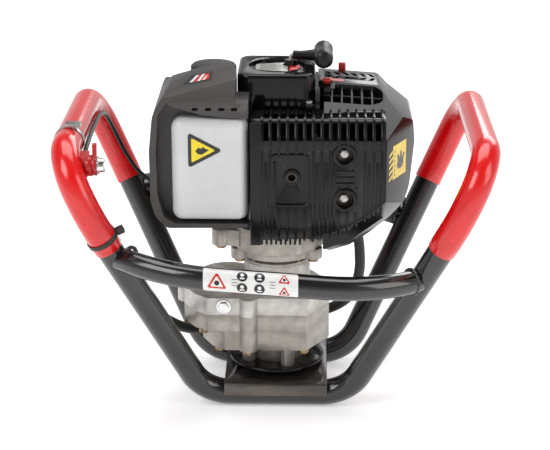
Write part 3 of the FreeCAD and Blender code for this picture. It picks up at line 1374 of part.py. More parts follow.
def check_and_write():
    doc.recompute()
    for thing in doc.Objects:
        bad = {"Invalid", "Error"} & set(thing.State)
        assert not bad, "%s (%s) is %s" % (thing.Name, thing.Label, thing.State)
    os.makedirs("parts", exist_ok=True)
    names = [thing.Label for thing in PIECES]
    assert len(names) == len(set(names)), "two sub-parts share a name"
    for thing in PIECES:
        shape = thing.Shape
        assert not shape.isNull() and shape.isValid(), thing.Label + " is not a sound shape"
        assert shape.Solids, thing.Label + " holds no solid"
        shape.exportStep("parts/%s.step" % thing.Label)
    print(len(names), "sub-parts written")


make_guard()
make_tank()
make_tank_cover()
make_shroud()
make_recoil()
make_air_side()
make_handle_controls()
check_and_write()
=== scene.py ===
import json
import math

import bmesh
import bpy
from mathutils import Matrix, Vector, noise
from mathutils.bvhtree import BVHTree


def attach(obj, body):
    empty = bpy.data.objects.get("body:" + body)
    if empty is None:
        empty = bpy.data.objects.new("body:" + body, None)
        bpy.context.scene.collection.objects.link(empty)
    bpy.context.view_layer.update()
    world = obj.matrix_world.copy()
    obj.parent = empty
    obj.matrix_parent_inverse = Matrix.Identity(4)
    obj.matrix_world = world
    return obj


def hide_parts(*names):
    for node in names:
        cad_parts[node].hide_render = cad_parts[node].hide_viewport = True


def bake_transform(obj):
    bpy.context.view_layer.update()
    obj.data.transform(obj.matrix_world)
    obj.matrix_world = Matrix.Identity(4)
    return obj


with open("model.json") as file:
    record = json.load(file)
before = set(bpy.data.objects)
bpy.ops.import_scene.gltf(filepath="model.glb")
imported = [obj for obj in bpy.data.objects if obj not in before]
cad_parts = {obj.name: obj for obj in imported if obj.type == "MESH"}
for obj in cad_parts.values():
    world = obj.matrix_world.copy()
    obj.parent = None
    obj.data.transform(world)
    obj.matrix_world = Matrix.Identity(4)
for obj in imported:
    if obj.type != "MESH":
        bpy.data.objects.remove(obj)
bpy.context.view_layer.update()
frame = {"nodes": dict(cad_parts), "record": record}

# Ice auger powerhead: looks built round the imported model. Metres, +Z up, -Y the front.
# Lengths below are written in millimetres and multiplied by MM where they enter a mesh.
MM = 0.001
nodes = frame["nodes"]

BAR_R = 12.5    # the front crossbar's radius, as in the model

# the studio, in metres
CAMERA_PLACE, CAMERA_TARGET, CAMERA_LENS = (0.0337, -1.7511, 0.8195), (-0.0021, 0.0, 0.1887), 111.2
LIGHT_TARGET = (0, 0, 0.2)
HORIZON_WHITE, SKY_GREY, SKY_STRENGTH = (1.0, 1.0, 1.0, 1), (0.2, 0.195, 0.19, 1), 0.75
FLOOR_REACH, FLOOR_DROP, FLOOR_WHITE, FLOOR_GLOW = 14.0, 0.0004, 0.93, 0.38


# ---- camera, light and floor -----------------------------------------------------------------

def make_camera():
    """A long lens in front of the machine, a little above it."""
    camera = bpy.data.objects.new("camera", bpy.data.cameras.new("camera"))
    bpy.context.scene.collection.objects.link(camera)
    camera.location = CAMERA_PLACE
    ahead = Vector(CAMERA_TARGET) - camera.location
    camera.rotation_euler = ahead.to_track_quat("-Z", "Y").to_euler()
    camera.data.sensor_width = 36.0
    camera.data.lens = CAMERA_LENS
    camera.data.clip_start = 0.05
    bpy.context.scene.camera = camera


def area_light(name, place, width, height, power, colour=(1, 1, 1)):
    """A soft rectangular light that faces the object."""
    light = bpy.data.lights.new(name, "AREA")
    light.shape = "RECTANGLE"
    light.size, light.size_y = width, height
    light.energy = power
    light.color = colour
    lamp = bpy.data.objects.new(name, light)
    bpy.context.scene.collection.objects.link(lamp)
    lamp.location = place
    ahead = Vector(LIGHT_TARGET) - Vector(place)
    lamp.rotation_euler = ahead.to_track_quat("-Z", "Y").to_euler()


def make_world():
    """Light that falls from white at the horizon to grey overhead."""
    world = bpy.data.worlds.new("studio")
    bpy.context.scene.world = world
    world.use_nodes = True
    tree = world.node_tree
    back = tree.nodes["Background"]
    place = tree.nodes.new("ShaderNodeTexCoord")
    split = tree.nodes.new("ShaderNodeSeparateXYZ")
    ramp = tree.nodes.new("ShaderNodeValToRGB")
    tree.links.new(place.outputs["Generated"], split.inputs[0])
    tree.links.new(split.outputs["Z"], ramp.inputs[0])
    tree.links.new(ramp.outputs[0], back.inputs["Color"])
    ramp.color_ramp.elements[0].position = 0.02
    ramp.color_ramp.elements[0].color = HORIZON_WHITE
    ramp.color_ramp.elements[1].position = 0.55
    ramp.color_ramp.elements[1].color = SKY_GREY
    back.inputs["Strength"].default_value = SKY_STRENGTH


def make_floor():
    """A pale floor that glows a little, so that it stays white away from the lights."""
    floor_mesh = bpy.data.meshes.new("floor")
    corners = [(-1, -1), (1, -1), (1, 1), (-1, 1)]
    floor_mesh.from_pydata([(x * FLOOR_REACH, y * FLOOR_REACH, 0) for x, y in corners], [],
                           [(0, 1, 2, 3)])
    floor = bpy.data.objects.new("floor", floor_mesh)
    bpy.context.scene.collection.objects.link(floor)
    floor.location.z = -FLOOR_DROP
    paint = bpy.data.materials.new("floor")
    paint.use_nodes = True
    shader = paint.node_tree.nodes["Principled BSDF"]
    shader.inputs["Base Color"].default_value = (FLOOR_WHITE, FLOOR_WHITE, FLOOR_WHITE, 1)
    shader.inputs["Roughness"].default_value = 0.9
    shader.inputs["Specular IOR Level"].default_value = 0.1
    shader.inputs["Emission Color"].default_value = (1, 1, 1, 1)
    shader.inputs["Emission Strength"].default_value = FLOOR_GLOW
    floor_mesh.materials.append(paint)


def make_studio():
    """Four soft lights in watts, the sky and the floor."""
    make_world()
    area_light("key", (-1.6, -1.5, 2.1), 1.5, 1.5, 36)
    area_light("fill", (1.9, -1.1, 1.3), 1.2, 1.6, 18, (1, 0.97, 0.95))
    area_light("top", (0.0, 0.5, 2.2), 2.0, 1.4, 30)
    area_light("rim", (0.9, 2.0, 1.4), 1.6, 1.0, 18)
    make_floor()
    bpy.context.scene.view_settings.view_transform = "Standard"


# ---- materials -------------------------------------------------------------------------------

def surface(name, base, shade, rough, metal=0.0, mottle=40.0, grain=900.0, depth=0.02,
            spread=0.08, coat=0.0, wear=None, wear_from=0.54, stretch=(1, 1, 1), cells=False,
            glow_through=0.0, specular=0.5):
    """A procedural finish: mottled colour and roughness, a grain in the bump, worn edges."""
    material = bpy.data.materials.new(name)
    material.use_nodes = True
    tree = material.node_tree
    shader = tree.nodes["Principled BSDF"]
    place = tree.nodes.new("ShaderNodeTexCoord")
    mapping = tree.nodes.new("ShaderNodeMapping")
    mapping.inputs["Scale"].default_value = stretch
    tree.links.new(place.outputs["Object"], mapping.inputs["Vector"])

    blotch = tree.nodes.new("ShaderNodeTexNoise")
    blotch.inputs["Scale"].default_value = mottle
    blotch.inputs["Detail"].default_value = 6
    blotch.inputs["Roughness"].default_value = 0.62
    tree.links.new(mapping.outputs[0], blotch.inputs["Vector"])
    colours = tree.nodes.new("ShaderNodeValToRGB")
    colours.color_ramp.elements[0].position = 0.32
    colours.color_ramp.elements[0].color = (*shade, 1)
    colours.color_ramp.elements[1].position = 0.68
    colours.color_ramp.elements[1].color = (*base, 1)
    tree.links.new(blotch.outputs["Fac"], colours.inputs[0])
    colour = colours.outputs[0]

    if wear:
        geometry = tree.nodes.new("ShaderNodeNewGeometry")
        edge = tree.nodes.new("ShaderNodeMapRange")
        edge.inputs["From Min"].default_value = wear_from
        edge.inputs["From Max"].default_value = wear_from + 0.12
        tree.links.new(geometry.outputs["Pointiness"], edge.inputs["Value"])
        chips = tree.nodes.new("ShaderNodeMath")
        chips.operation = "MULTIPLY"
        tree.links.new(edge.outputs[0], chips.inputs[0])
        tree.links.new(blotch.outputs["Fac"], chips.inputs[1])
        worn = tree.nodes.new("ShaderNodeMix")
        worn.data_type = "RGBA"
        worn.inputs["B"].default_value = (*wear, 1)
        tree.links.new(chips.outputs[0], worn.inputs["Factor"])
        tree.links.new(colour, worn.inputs["A"])
        colour = worn.outputs["Result"]
    tree.links.new(colour, shader.inputs["Base Color"])

    roughness = tree.nodes.new("ShaderNodeMapRange")
    roughness.inputs["To Min"].default_value = max(0.02, rough - spread)
    roughness.inputs["To Max"].default_value = min(1.0, rough + spread)
    smear = tree.nodes.new("ShaderNodeTexNoise")
    smear.inputs["Scale"].default_value = mottle * 2.7
    smear.inputs["Detail"].default_value = 4
    tree.links.new(mapping.outputs[0], smear.inputs["Vector"])
    tree.links.new(smear.outputs["Fac"], roughness.inputs["Value"])
    tree.links.new(roughness.outputs[0], shader.inputs["Roughness"])

    if cells:
        texture = tree.nodes.new("ShaderNodeTexVoronoi")
        texture.feature = "F1"
        height = texture.outputs["Distance"]
    else:
        texture = tree.nodes.new("ShaderNodeTexNoise")
        texture.inputs["Detail"].default_value = 3
        height = texture.outputs["Fac"]
    texture.inputs["Scale"].default_value = grain
    tree.links.new(mapping.outputs[0], texture.inputs["Vector"])
    bump = tree.nodes.new("ShaderNodeBump")
    bump.inputs["Strength"].default_value = 0.6
    bump.inputs["Distance"].default_value = depth * MM
    tree.links.new(height, bump.inputs["Height"])
    tree.links.new(bump.outputs[0], shader.inputs["Normal"])

    shader.inputs["Metallic"].default_value = metal
    shader.inputs["Coat Weight"].default_value = coat
    shader.inputs["Coat Roughness"].default_value = 0.06
    shader.inputs["Subsurface Weight"].default_value = glow_through
    shader.inputs["Subsurface Radius"].default_value = (0.02, 0.018, 0.015)
    shader.inputs["Subsurface Scale"].default_value = 0.4
    shader.inputs["Specular IOR Level"].default_value = specular
    return material


BLACK_PAINT = surface("black_paint", (0.012, 0.011, 0.011), (0.006, 0.006, 0.006), 0.2, coat=0.6,
                      grain=420, depth=0.05, wear=(0.1, 0.09, 0.085), wear_from=0.56)
RED_VINYL = surface("red_vinyl", (0.74, 0.003, 0.004), (0.6, 0.001, 0.002), 0.26, coat=0.55,
                    mottle=18, grain=160, depth=0.16)
PAD_RUBBER = surface("pad_rubber", (0.02, 0.019, 0.018), (0.01, 0.01, 0.01), 0.55, grain=1300,
                     depth=0.05)
BRACKET = surface("bracket_steel", (0.07, 0.056, 0.048), (0.026, 0.022, 0.02), 0.33, metal=0.5,
                  mottle=55, grain=1500, depth=0.02, coat=0.25, stretch=(0.35, 1.6, 1.6),
                  wear=(0.5, 0.45, 0.4))
CAST = surface("cast_aluminium", (0.43, 0.395, 0.355), (0.3, 0.27, 0.24), 0.44, metal=0.6,
               mottle=70, grain=1100, depth=0.1, wear=(0.8, 0.79, 0.77), wear_from=0.53)
MACHINED = surface("machined_steel", (0.56, 0.55, 0.54), (0.4, 0.39, 0.38), 0.28, metal=1.0,
                   mottle=120, grain=2400, depth=0.012, stretch=(1, 1, 0.25))
CHROME = surface("chrome", (0.8, 0.8, 0.8), (0.66, 0.66, 0.66), 0.12, metal=1.0, spread=0.05,
                 mottle=90, grain=600, depth=0.01)
ZINC = surface("yellow_zinc", (0.36, 0.24, 0.12), (0.16, 0.1, 0.055), 0.36, metal=0.9,
               mottle=260, grain=1800, depth=0.03, wear=(0.6, 0.5, 0.35))
BRONZE = surface("bronze", (0.6, 0.38, 0.17), (0.4, 0.24, 0.1), 0.4, metal=1.0, grain=2000)
GLOSS = surface("black_gloss_plastic", (0.011, 0.0092, 0.0088), (0.006, 0.005, 0.0048), 0.16,
                spread=0.05, specular=0.32, mottle=24, grain=140, depth=0.07)
GUARD = surface("guard_plastic", (0.009, 0.0085, 0.008), (0.005, 0.0045, 0.0045), 0.2, mottle=70,
                grain=500, depth=0.05, specular=0.3, wear=(0.05, 0.045, 0.04),
                wear_from=0.58)
RECOIL = surface("recoil_plastic", (0.006, 0.0055, 0.006), (0.0035, 0.003, 0.0035), 0.1,
                 spread=0.04, specular=0.28, mottle=24, grain=140, depth=0.05)
GREY = surface("grey_plastic", (0.058, 0.053, 0.05), (0.042, 0.038, 0.036), 0.42, mottle=30,
               grain=2300, depth=0.07, cells=True, wear=(0.14, 0.13, 0.12), wear_from=0.57)
DARK = surface("dark_plastic", (0.022, 0.021, 0.02), (0.013, 0.012, 0.012), 0.42, grain=1900,
               depth=0.05, wear=(0.08, 0.075, 0.07), wear_from=0.57)
TANK = surface("tank_plastic", (0.7, 0.71, 0.71), (0.6, 0.605, 0.61), 0.3, spread=0.05,
               mottle=14, grain=260, depth=0.1, glow_through=0.35)
RED_PLASTIC = surface("red_plastic", (0.55, 0.01, 0.01), (0.35, 0.005, 0.006), 0.3, coat=0.2,
                      mottle=110, grain=900, depth=0.03)
RUBBER = surface("black_rubber", (0.008, 0.0075, 0.0075), (0.0045, 0.0042, 0.0042), 0.36,
                 mottle=80, grain=1500, depth=0.05, specular=0.32)
BULB = surface("primer_rubber", (0.5, 0.16, 0.08), (0.36, 0.1, 0.05), 0.3, glow_through=0.3,
               grain=500)
HOSE = surface("fuel_hose", (0.5, 0.36, 0.14), (0.36, 0.25, 0.08), 0.25, glow_through=0.2,
               grain=600)
FOAM = surface("filter_foam", (0.05, 0.048, 0.045), (0.02, 0.02, 0.02), 0.9, grain=900,
               depth=0.9, cells=True)
ROPE = surface("rope", (0.55, 0.54, 0.5), (0.35, 0.34, 0.32), 0.7, grain=1400, depth=0.2,
               cells=True)
CERAMIC = surface("ceramic", (0.8, 0.8, 0.78), (0.7, 0.7, 0.68), 0.15, grain=300, coat=0.4)
HOT_STEEL = surface("muffler_steel", (0.12, 0.105, 0.09), (0.05, 0.04, 0.035), 0.5, metal=0.8,
                    mottle=45, grain=1200, depth=0.06)
WELD = surface("weld_bead", (0.02, 0.019, 0.018), (0.01, 0.01, 0.01), 0.3, coat=0.3, grain=700,
               depth=0.15)
LABEL_SILVER = surface("silver_label", (0.62, 0.62, 0.6), (0.5, 0.5, 0.48), 0.32, metal=0.55,
                       mottle=150, grain=2600, depth=0.006, stretch=(1, 6, 1))
LABEL_WHITE = surface("white_label", (0.82, 0.82, 0.81), (0.72, 0.72, 0.71), 0.3, coat=0.3,
                      mottle=90, grain=1500, depth=0.006)
LABEL_YELLOW = surface("yellow_label", (0.86, 0.68, 0.01), (0.76, 0.57, 0.008), 0.3, coat=0.3,
                       mottle=120, grain=1500, depth=0.006)
LABEL_BLACK = surface("black_print", (0.014, 0.013, 0.013), (0.009, 0.009, 0.009), 0.35,
                      coat=0.2, mottle=200, grain=1500, depth=0.004)
LABEL_RED = surface("red_print", (0.66, 0.006, 0.008), (0.55, 0.004, 0.005), 0.32, coat=0.3,
                    mottle=150, grain=1500, depth=0.004)


# ---- mesh helpers ----------------------------------------------------------------------------

def piece(name, mesh, material, body="root", sharp=32):
    """A finished object that rides on a body of the frame."""
    mesh.materials.clear()
    mesh.materials.append(material)
    for polygon in mesh.polygons:
        polygon.use_smooth = True
        polygon.material_index = 0
    mesh.set_sharp_from_angle(angle=math.radians(sharp))
    thing = bpy.data.objects.new(name, mesh)
    bpy.context.scene.collection.objects.link(thing)
    if body:
        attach(thing, body)
    return thing


def joined(meshes):
    """One mesh from several, which are used up."""
    bm = bmesh.new()
    for mesh in meshes:
        bm.from_mesh(mesh)
        bpy.data.meshes.remove(mesh)
    mesh = bpy.data.meshes.new("joined")
    bm.to_mesh(mesh)
    bm.free()
    return mesh


def arcs(corners, step=12.0):
    """Points of a closed outline; each corner is (u, v) or (u, v, radius)."""
    points = []
    count = len(corners)
    for i, corner in enumerate(corners):
        here = Vector(corner[:2])
        radius = corner[2] if len(corner) > 2 else 0
        if radius == 0:
            points.append(here)
            continue
        back = (Vector(corners[i - 1][:2]) - here).normalized()
        ahead = (Vector(corners[(i + 1) % count][:2]) - here).normalized()
        half = back.angle(ahead) / 2
        centre = here + (back + ahead).normalized() * (radius / math.sin(half))
        enter = here + back * (radius / math.tan(half)) - centre
        turn = math.pi - 2 * half
        sign = 1 if back.x * ahead.y - back.y * ahead.x < 0 else -1
        pieces = max(2, round(math.degrees(turn) / step))
        for k in range(pieces + 1):
            angle = sign * turn * k / pieces
            points.append(centre + Matrix.Rotation(angle, 2) @ enter)
    return points


SHARP_TURN = 35    # degrees, past which an edge counts as sharp
# where (u, v) of an outline and w along its axis go in space
PLACE = {
    "X": lambda u, v, w: (w, u, v),
    "Y": lambda u, v, w: (u, w, v),
    "Z": lambda u, v, w: (u, v, w),
}


def skinned(rings, closed_up=False):
    """A mesh over rings of points, each joined to the next: capped, or closed up into a loop."""
    bm = bmesh.new()
    rows = [[bm.verts.new(Vector(point) * MM) for point in ring] for ring in rings]
    if not closed_up:
        bm.faces.new(rows[0])
        bm.faces.new(rows[-1])
    for low, high in zip(rows, rows[1:] + rows[:1] if closed_up else rows[1:]):
        for i in range(len(low)):
            j = (i + 1) % len(low)
            bm.faces.new((low[i], low[j], high[j], high[i]))
    bmesh.ops.recalc_face_normals(bm, faces=bm.faces)
    mesh = bpy.data.meshes.new("part")
    bm.to_mesh(mesh)
    bm.free()
    return mesh


def circle(radius, sides):
    """Points round a circle about (0, 0)."""
    return [(radius * math.cos(2 * math.pi * i / sides), radius * math.sin(2 * math.pi * i / sides))
            for i in range(sides)]


def prism(points, axis, low, high):
    """An outline carried along an axis. Outlines are (y, z) along X, (x, z) along Y, (x, y)."""
    put = PLACE[axis]
    return skinned([[put(p[0], p[1], w) for p in points] for w in (low, high)])


def slab(low, high):
    """A box between its lowest and its highest corner."""
    return prism([(low[0], low[1]), (high[0], low[1]), (high[0], high[1]), (low[0], high[1])],
                 "Z", low[2], high[2])


def disc(radius, axis, u, v, low, high, sides=48):
    """A round plate or hole about (u, v)."""
    return prism([(u + du, v + dv) for du, dv in circle(radius, sides)], axis, low, high)


def lathe(profile, place, axis, sides):
    """A profile of (radius, height) turned about an axis through a point, closed at both ends."""
    turn = {"X": Matrix.Rotation(math.pi / 2, 4, "Y"),
            "Y": Matrix.Rotation(-math.pi / 2, 4, "X")}[axis]
    return skinned([[Vector(place) + turn @ Vector((u, v, height)) for u, v in circle(radius, sides)]
                    for radius, height in profile])


def evaluated(mesh, kind, **settings):
    """The mesh after one modifier, set up on a scratch object; the mesh given is used up."""
    scratch = bpy.data.objects.new("scratch", mesh)
    bpy.context.scene.collection.objects.link(scratch)
    modifier = scratch.modifiers.new("change", kind)
    for name, setting in settings.items():
        setattr(modifier, name, setting)
    graph = bpy.context.evaluated_depsgraph_get()
    graph.update()
    made = bpy.data.meshes.new_from_object(scratch.evaluated_get(graph))
    bpy.data.objects.remove(scratch)
    bpy.data.meshes.remove(mesh)
    return made


def combine(mesh, other, operation):
    """Two solids by an exact boolean; both meshes given are used up."""
    tool = bpy.data.objects.new("tool", other)
    bpy.context.scene.collection.objects.link(tool)
    made = evaluated(mesh, "BOOLEAN", operation=operation, object=tool, solver="EXACT")
    bpy.data.objects.remove(tool)
    bpy.data.meshes.remove(other)
    return made


def cut(solid, *others):
    """The solid with each of the others cut away, one after the other."""
    for other in others:
        solid = combine(solid, other, "DIFFERENCE")
    return solid


def softened(mesh, width, segments=3, angle=30):
    """The mesh with rounded edges where it turns by more than an angle."""
    return evaluated(mesh, "BEVEL", width=width * MM, segments=segments, limit_method="ANGLE",
                     angle_limit=math.radians(angle), miter_outer="MITER_ARC")


def crisp(thing, width):
    """Fine rounded edges as a modifier, so that light catches them."""
    modifier = thing.modifiers.new("edges", "BEVEL")
    modifier.width = width * MM
    modifier.segments = 2
    modifier.limit_method = "ANGLE"
    modifier.angle_limit = math.radians(SHARP_TURN)
    modifier.harden_normals = True


# ---- finishes of the nodes that are shown as modelled ------------------------------------------

FINISH = {
    "black_tube": BLACK_PAINT, "red_grip_skin": RED_VINYL, "pad_rubber": PAD_RUBBER,
    "bracket_steel": BRACKET, "cast_aluminium": CAST, "bright_aluminium": MACHINED,
    "steel": MACHINED, "zinc_bolts": ZINC, "chrome_steel": CHROME, "bronze": BRONZE,
    "black_gloss": GLOSS, "black_plastic": DARK, "grey_plastic": GREY, "tank_plastic": TANK,
    "red_plastic": RED_PLASTIC, "clear_rubber": HOSE, "black_rubber": RUBBER, "foam": FOAM,
    "rope": ROPE, "white_ceramic": CERAMIC, "muffler_steel": HOT_STEEL,
}
# nodes with a finish other than their slot's, and with edges other than the usual ones
OWN_FINISH = {"primer_bulb": BULB, "muffler_guard": GUARD, "recoil_housing": RECOIL}
EDGE = {"front_frame_tube": 0, "rear_frame_tube": 0, "intermediate_gear": 0, "output_gear": 0,
        "input_pinion": 0, "fuel_cap": 0.25, "starter_rope": 0, "recoil_spring": 0}
USUAL_EDGE, WELD_WITHIN = 0.45, 0.002


def finish_nodes():
    """Every CAD node gets its slot's finish, and fine edges where its faces turn sharply."""
    slots = {row["node"]: row["material_slot"] for row in frame["record"]["subparts"]}
    for name, thing in nodes.items():
        thing.data.materials.clear()
        thing.data.materials.append(OWN_FINISH.get(name, FINISH[slots[name]]))
        for polygon in thing.data.polygons:
            polygon.use_smooth = True
        weld = thing.modifiers.new("weld", "WELD")
        weld.merge_threshold = WELD_WITHIN * MM
        width = EDGE.get(name, USUAL_EDGE)
        if width:
            crisp(thing, width)
        else:
            split = thing.modifiers.new("split", "EDGE_SPLIT")
            split.split_angle = math.radians(SHARP_TURN)


# ---- shapes in the covers ----------------------------------------------------------------------

BLOCK_REACH = 300    # how far such a block goes from its first point


def beyond(a, b, c, outside, inset=0.0):
    """A big block on the outer side of the plane through three points, set back by an inset."""
    a, b, c, outside = Vector(a), Vector(b), Vector(c), Vector(outside)
    normal = (b - a).cross(c - a).normalized()
    if normal.dot(outside - a) < 0:
        normal.negate()
    side = (b - a).normalized() * BLOCK_REACH
    up = normal.cross(side)
    start = a - normal * inset
    return skinned([[start + sx * side + sy * up + out * normal
                     for sx, sy in ((-1, -1), (1, -1), (1, 1), (-1, 1))]
                    for out in (0, BLOCK_REACH)])


def rounded_box(u0, v0, u1, v1, radius, step=12.0):
    """The outline of a rectangle with rounded corners."""
    return arcs([(u0, v0, radius), (u1, v0, radius), (u1, v1, radius), (u0, v1, radius)], step)


def inset_outline(points, depth):
    """The outline moved inwards by a depth, corner by corner."""
    count = len(points)
    area = sum(points[i - 1][0] * points[i][1] - points[i][0] * points[i - 1][1]
               for i in range(count))
    sign = 1 if area > 0 else -1
    moved = []
    for i in range(count):
        before, here, after = (Vector(points[k % count]) for k in (i - 1, i, i + 1))
        first = (here - before).normalized()
        second = (after - here).normalized()
        left_a, left_b = Vector((-first.y, first.x)), Vector((-second.y, second.x))
        bisector = left_a + left_b
        moved.append(here + bisector * (sign * depth / max(0.35, 0.5 * bisector.length_squared)))
    return moved


# tank cover: outline across Y, the window in its front, and the planes of its roof
COVER = [(-28, 217, 3), (-28, 378, 2), (-60, 378, 2), (-113, 361, 20), (-126, 338, 30),
         (-130, 300, 40), (-129.5, 246, 30), (-125, 229, 14), (-113, 216, 9)]
COVER_FRONT, COVER_BACK, COVER_WALL = -88, 34, 3.2
COVER_WINDOW = [(-20, 221), (-20, 334.5), (-50, 335.5), (-75, 338), (-96, 344), (-112, 350, 3),
                (-120, 338, 8), (-123, 300, 20), (-122, 250, 12), (-116, 228, 8), (-104, 221, 6)]
COVER_EAVE = [(-20, 300), (-20, 355), (-98, 355, 2), (-112, 352, 6), (-117, 338, 5), (-100, 300)]
COVER_ROOF = ((-112, -88, 357), (-51, -76, 370.5), (-54, -22, 377), (-80, -60, 420))
COVER_BROW = ((-112, -88, 357), (-48, -88, 357), (-51, -76, 370.5), (-80, -120, 420))
COVER_DROP = ((-80, -23, 377), (-60, -23, 377), (-70, -13, 346.5), (-70, 20, 420))
COVER_BACK_TOP, COVER_STEP_TOP, ABOVE_ALL = 346.5, 351, 420
FILLER_AT, FILLER_RADIUS = (-68, 15), 20
VENTS_AT, VENT_HALF, VENT_LOW, VENT_TOP = (-82, -68.5, -55, -42), 3.2, 342.6, 346


def build_cover():
    """The tank's cover: a hollow shell with a faceted roof, a window, vents and a filler hole."""
    outline = arcs(COVER, 9)
    drop = combine(beyond(*COVER_DROP), slab((-400, -400, COVER_BACK_TOP), (400, 400, 900)),
                   "INTERSECT")
    solid = cut(prism(outline, "Y", COVER_FRONT, COVER_BACK), beyond(*COVER_ROOF),
                beyond(*COVER_BROW), drop, slab((-140, -13, COVER_BACK_TOP), (0, 60, ABOVE_ALL)),
                slab((-41, -100, COVER_STEP_TOP), (0, 60, ABOVE_ALL)),
                disc(FILLER_RADIUS, "Z", *FILLER_AT, 330, ABOVE_ALL))
    solid = softened(solid, 2.2, 4, 25)
    hollow = cut(prism(inset_outline(outline, COVER_WALL), "Y", COVER_FRONT + 3.5, COVER_BACK + 2),
                 beyond(*COVER_ROOF, COVER_WALL),
                 slab((-140, -19, COVER_BACK_TOP - COVER_WALL), (0, 60, ABOVE_ALL)))
    vents = [prism(rounded_box(x - VENT_HALF, VENT_LOW, x + VENT_HALF, VENT_TOP, 1, 30), "Y",
                   -95, -80) for x in VENTS_AT]
    beside_starter = slab((-44, -41.4, 205), (-10, 60, ABOVE_ALL))
    solid = cut(solid, hollow,
                prism(arcs(COVER_WINDOW, 10), "Y", COVER_FRONT - 3, COVER_FRONT + 18),
                prism(arcs(COVER_EAVE), "Y", COVER_FRONT - 2, COVER_FRONT + 1.6),
                beside_starter, *vents)
    thing = piece("tank_cover_shell", solid, GREY, sharp=28)
    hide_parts("tank_cover")
    crisp(thing, 0.5)
    return thing


# muffler guard: outline in front, lower edge, the run of its ribs, and its openings
GUARD_LEFT, GUARD_RIGHT, GUARD_SIDE = -26, 113.3, 2.8
GUARD_EDGE = [(-26, 204), (-26, 333), (112.6, 333), (113.2, 303), (113.4, 246, 6),
              (98, 233, 12), (77.6, 220, 20), (62, 212.5, 12), (46, 209, 6), (36, 206)]
GUARD_TRIM = [(36, 190), (36, 205), (46, 209), (62, 212.5), (77.6, 220), (98, 233), (113.4, 246),
              (130, 250), (130, 190)]
LOWER_EDGE = [(-26, 204), (36, 205), (46, 209), (62, 212.5), (77.6, 219.5), (98, 232.5),
              (113.4, 246), (120, 252)]
LIP = [(36, 206), (46, 209.4), (62, 213), (77.6, 220.4), (98, 233.4), (112, 246)]
RIB_PITCH, RIB_COUNT, FIRST_SLOT, SLOT_HALF = 8.85, 14, -9.6, 2.7
PANEL, PANEL_FRAME = (-1.5, 244, 31.5, 295, 4, 15), (-4.6, 240.5, 34.6, 298.5, 5, 15)
EXHAUST, EXHAUST_RADIUS = (17.2, 272.6), 5.2
PORTS, PORT_RADIUS = ((71.3, 297.0), (72.0, 249.0)), 9.0
BEFORE_FACE = -100    # where a tool that cuts the guard's front starts


def guard_profile():
    """The guard's section across X: over the shoulder and down the front."""
    return arcs([(-44, 332), (-77, 332, 9), (-90, 315, 9), (-90, 190), (-87, 190), (-87, 313),
                 (-76, 328.6), (-44, 328.6)], 10)


def shoulder_rib(x, width, proud, low):
    """One rib over the shoulder and down the front to a height."""
    face = [(-44, 330), (-44, 332 + proud), (-77, 332 + proud, 9 + proud),
            (-90 - proud, 315, 9 + proud), (-90 - proud, low, 0.6), (-88.5, low), (-88.5, 316),
            (-76, 330)]
    return softened(prism(arcs(face, 12), "X", x - width / 2, x + width / 2), 0.7, 2, 40)


def edge_below(x):
    """The height of the guard's lower edge at a place across it."""
    for (x0, z0), (x1, z1) in zip(LOWER_EDGE, LOWER_EDGE[1:]):
        if x0 <= x <= x1:
            return z0 + (z1 - z0) * (x - x0) / (x1 - x0)
    return LOWER_EDGE[0][1]


def guard_shell():
    """The guard's wall with its two ends, two rows of slots, panel, exhaust and bolt ports."""
    shell = combine(prism(guard_profile(), "X", GUARD_LEFT, GUARD_RIGHT),
                    prism(arcs(GUARD_EDGE, 10), "Y", -96, -30), "INTERSECT")
    for x, foot in ((GUARD_LEFT, 205), (110.4, 250)):
        side = [(-44, 331), (-77, 331, 9), (-89, 315, 9), (-89, foot), (-64, 222), (-44, 262)]
        shell = combine(shell, prism(arcs(side, 12), "X", x, x + GUARD_SIDE), "UNION")
    shell = cut(shell, prism(arcs(GUARD_TRIM), "Y", BEFORE_FACE, -88.9))
    slots = []
    for i in range(RIB_COUNT):
        x = FIRST_SLOT + RIB_PITCH * i
        left, right = x - SLOT_HALF, x + SLOT_HALF
        slots.append(prism(rounded_box(left, -72.5, right, -50, 1.2, 30), "Z", 322, 340))
        slots.append(prism(rounded_box(left, 312, right, 328.4, 1.5, 30), "Y", BEFORE_FACE, -75))
    ports = [disc(PORT_RADIUS, "Y", x, z, BEFORE_FACE, -80) for x, z in PORTS]
    shell = cut(shell, joined(slots), prism(rounded_box(*PANEL), "Y", -94, -88.2),
                disc(EXHAUST_RADIUS, "Y", *EXHAUST, BEFORE_FACE, -80), *ports)
    return softened(shell, 0.5, 2, 40)


def guard_panel():
    """The frame of the recessed panel, and a collar round the exhaust."""
    frame_ring = cut(prism(rounded_box(*PANEL_FRAME), "Y", -91.8, -88),
                     prism(rounded_box(*PANEL), "Y", BEFORE_FACE, -80))
    collar = cut(disc(8.6, "Y", *EXHAUST, -90.2, -86),
                 disc(EXHAUST_RADIUS + 0.2, "Y", *EXHAUST, BEFORE_FACE, -80))
    return [softened(frame_ring, 0.7, 2, 40), softened(collar, 0.8, 2, 40)]


def guard_ports():
    """Rims of the two bolt ports, each with a cup behind it, and three bars between them."""
    parts = []
    for x, z in PORTS:
        rim = combine(disc(12.2, "Y", x, z, -92.4, -88), disc(10.2, "Y", x, z, -89, -76), "UNION")
        parts.append(softened(cut(rim, disc(PORT_RADIUS - 0.1, "Y", x, z, BEFORE_FACE, -78)),
                              0.8, 3, 40))
    for k in range(3):
        z = 266.5 + 6.6 * k
        parts.append(softened(slab((62.5, -91.6, z - 1.3), (81, -88, z + 1.3)), 0.6, 2, 40))
    return parts


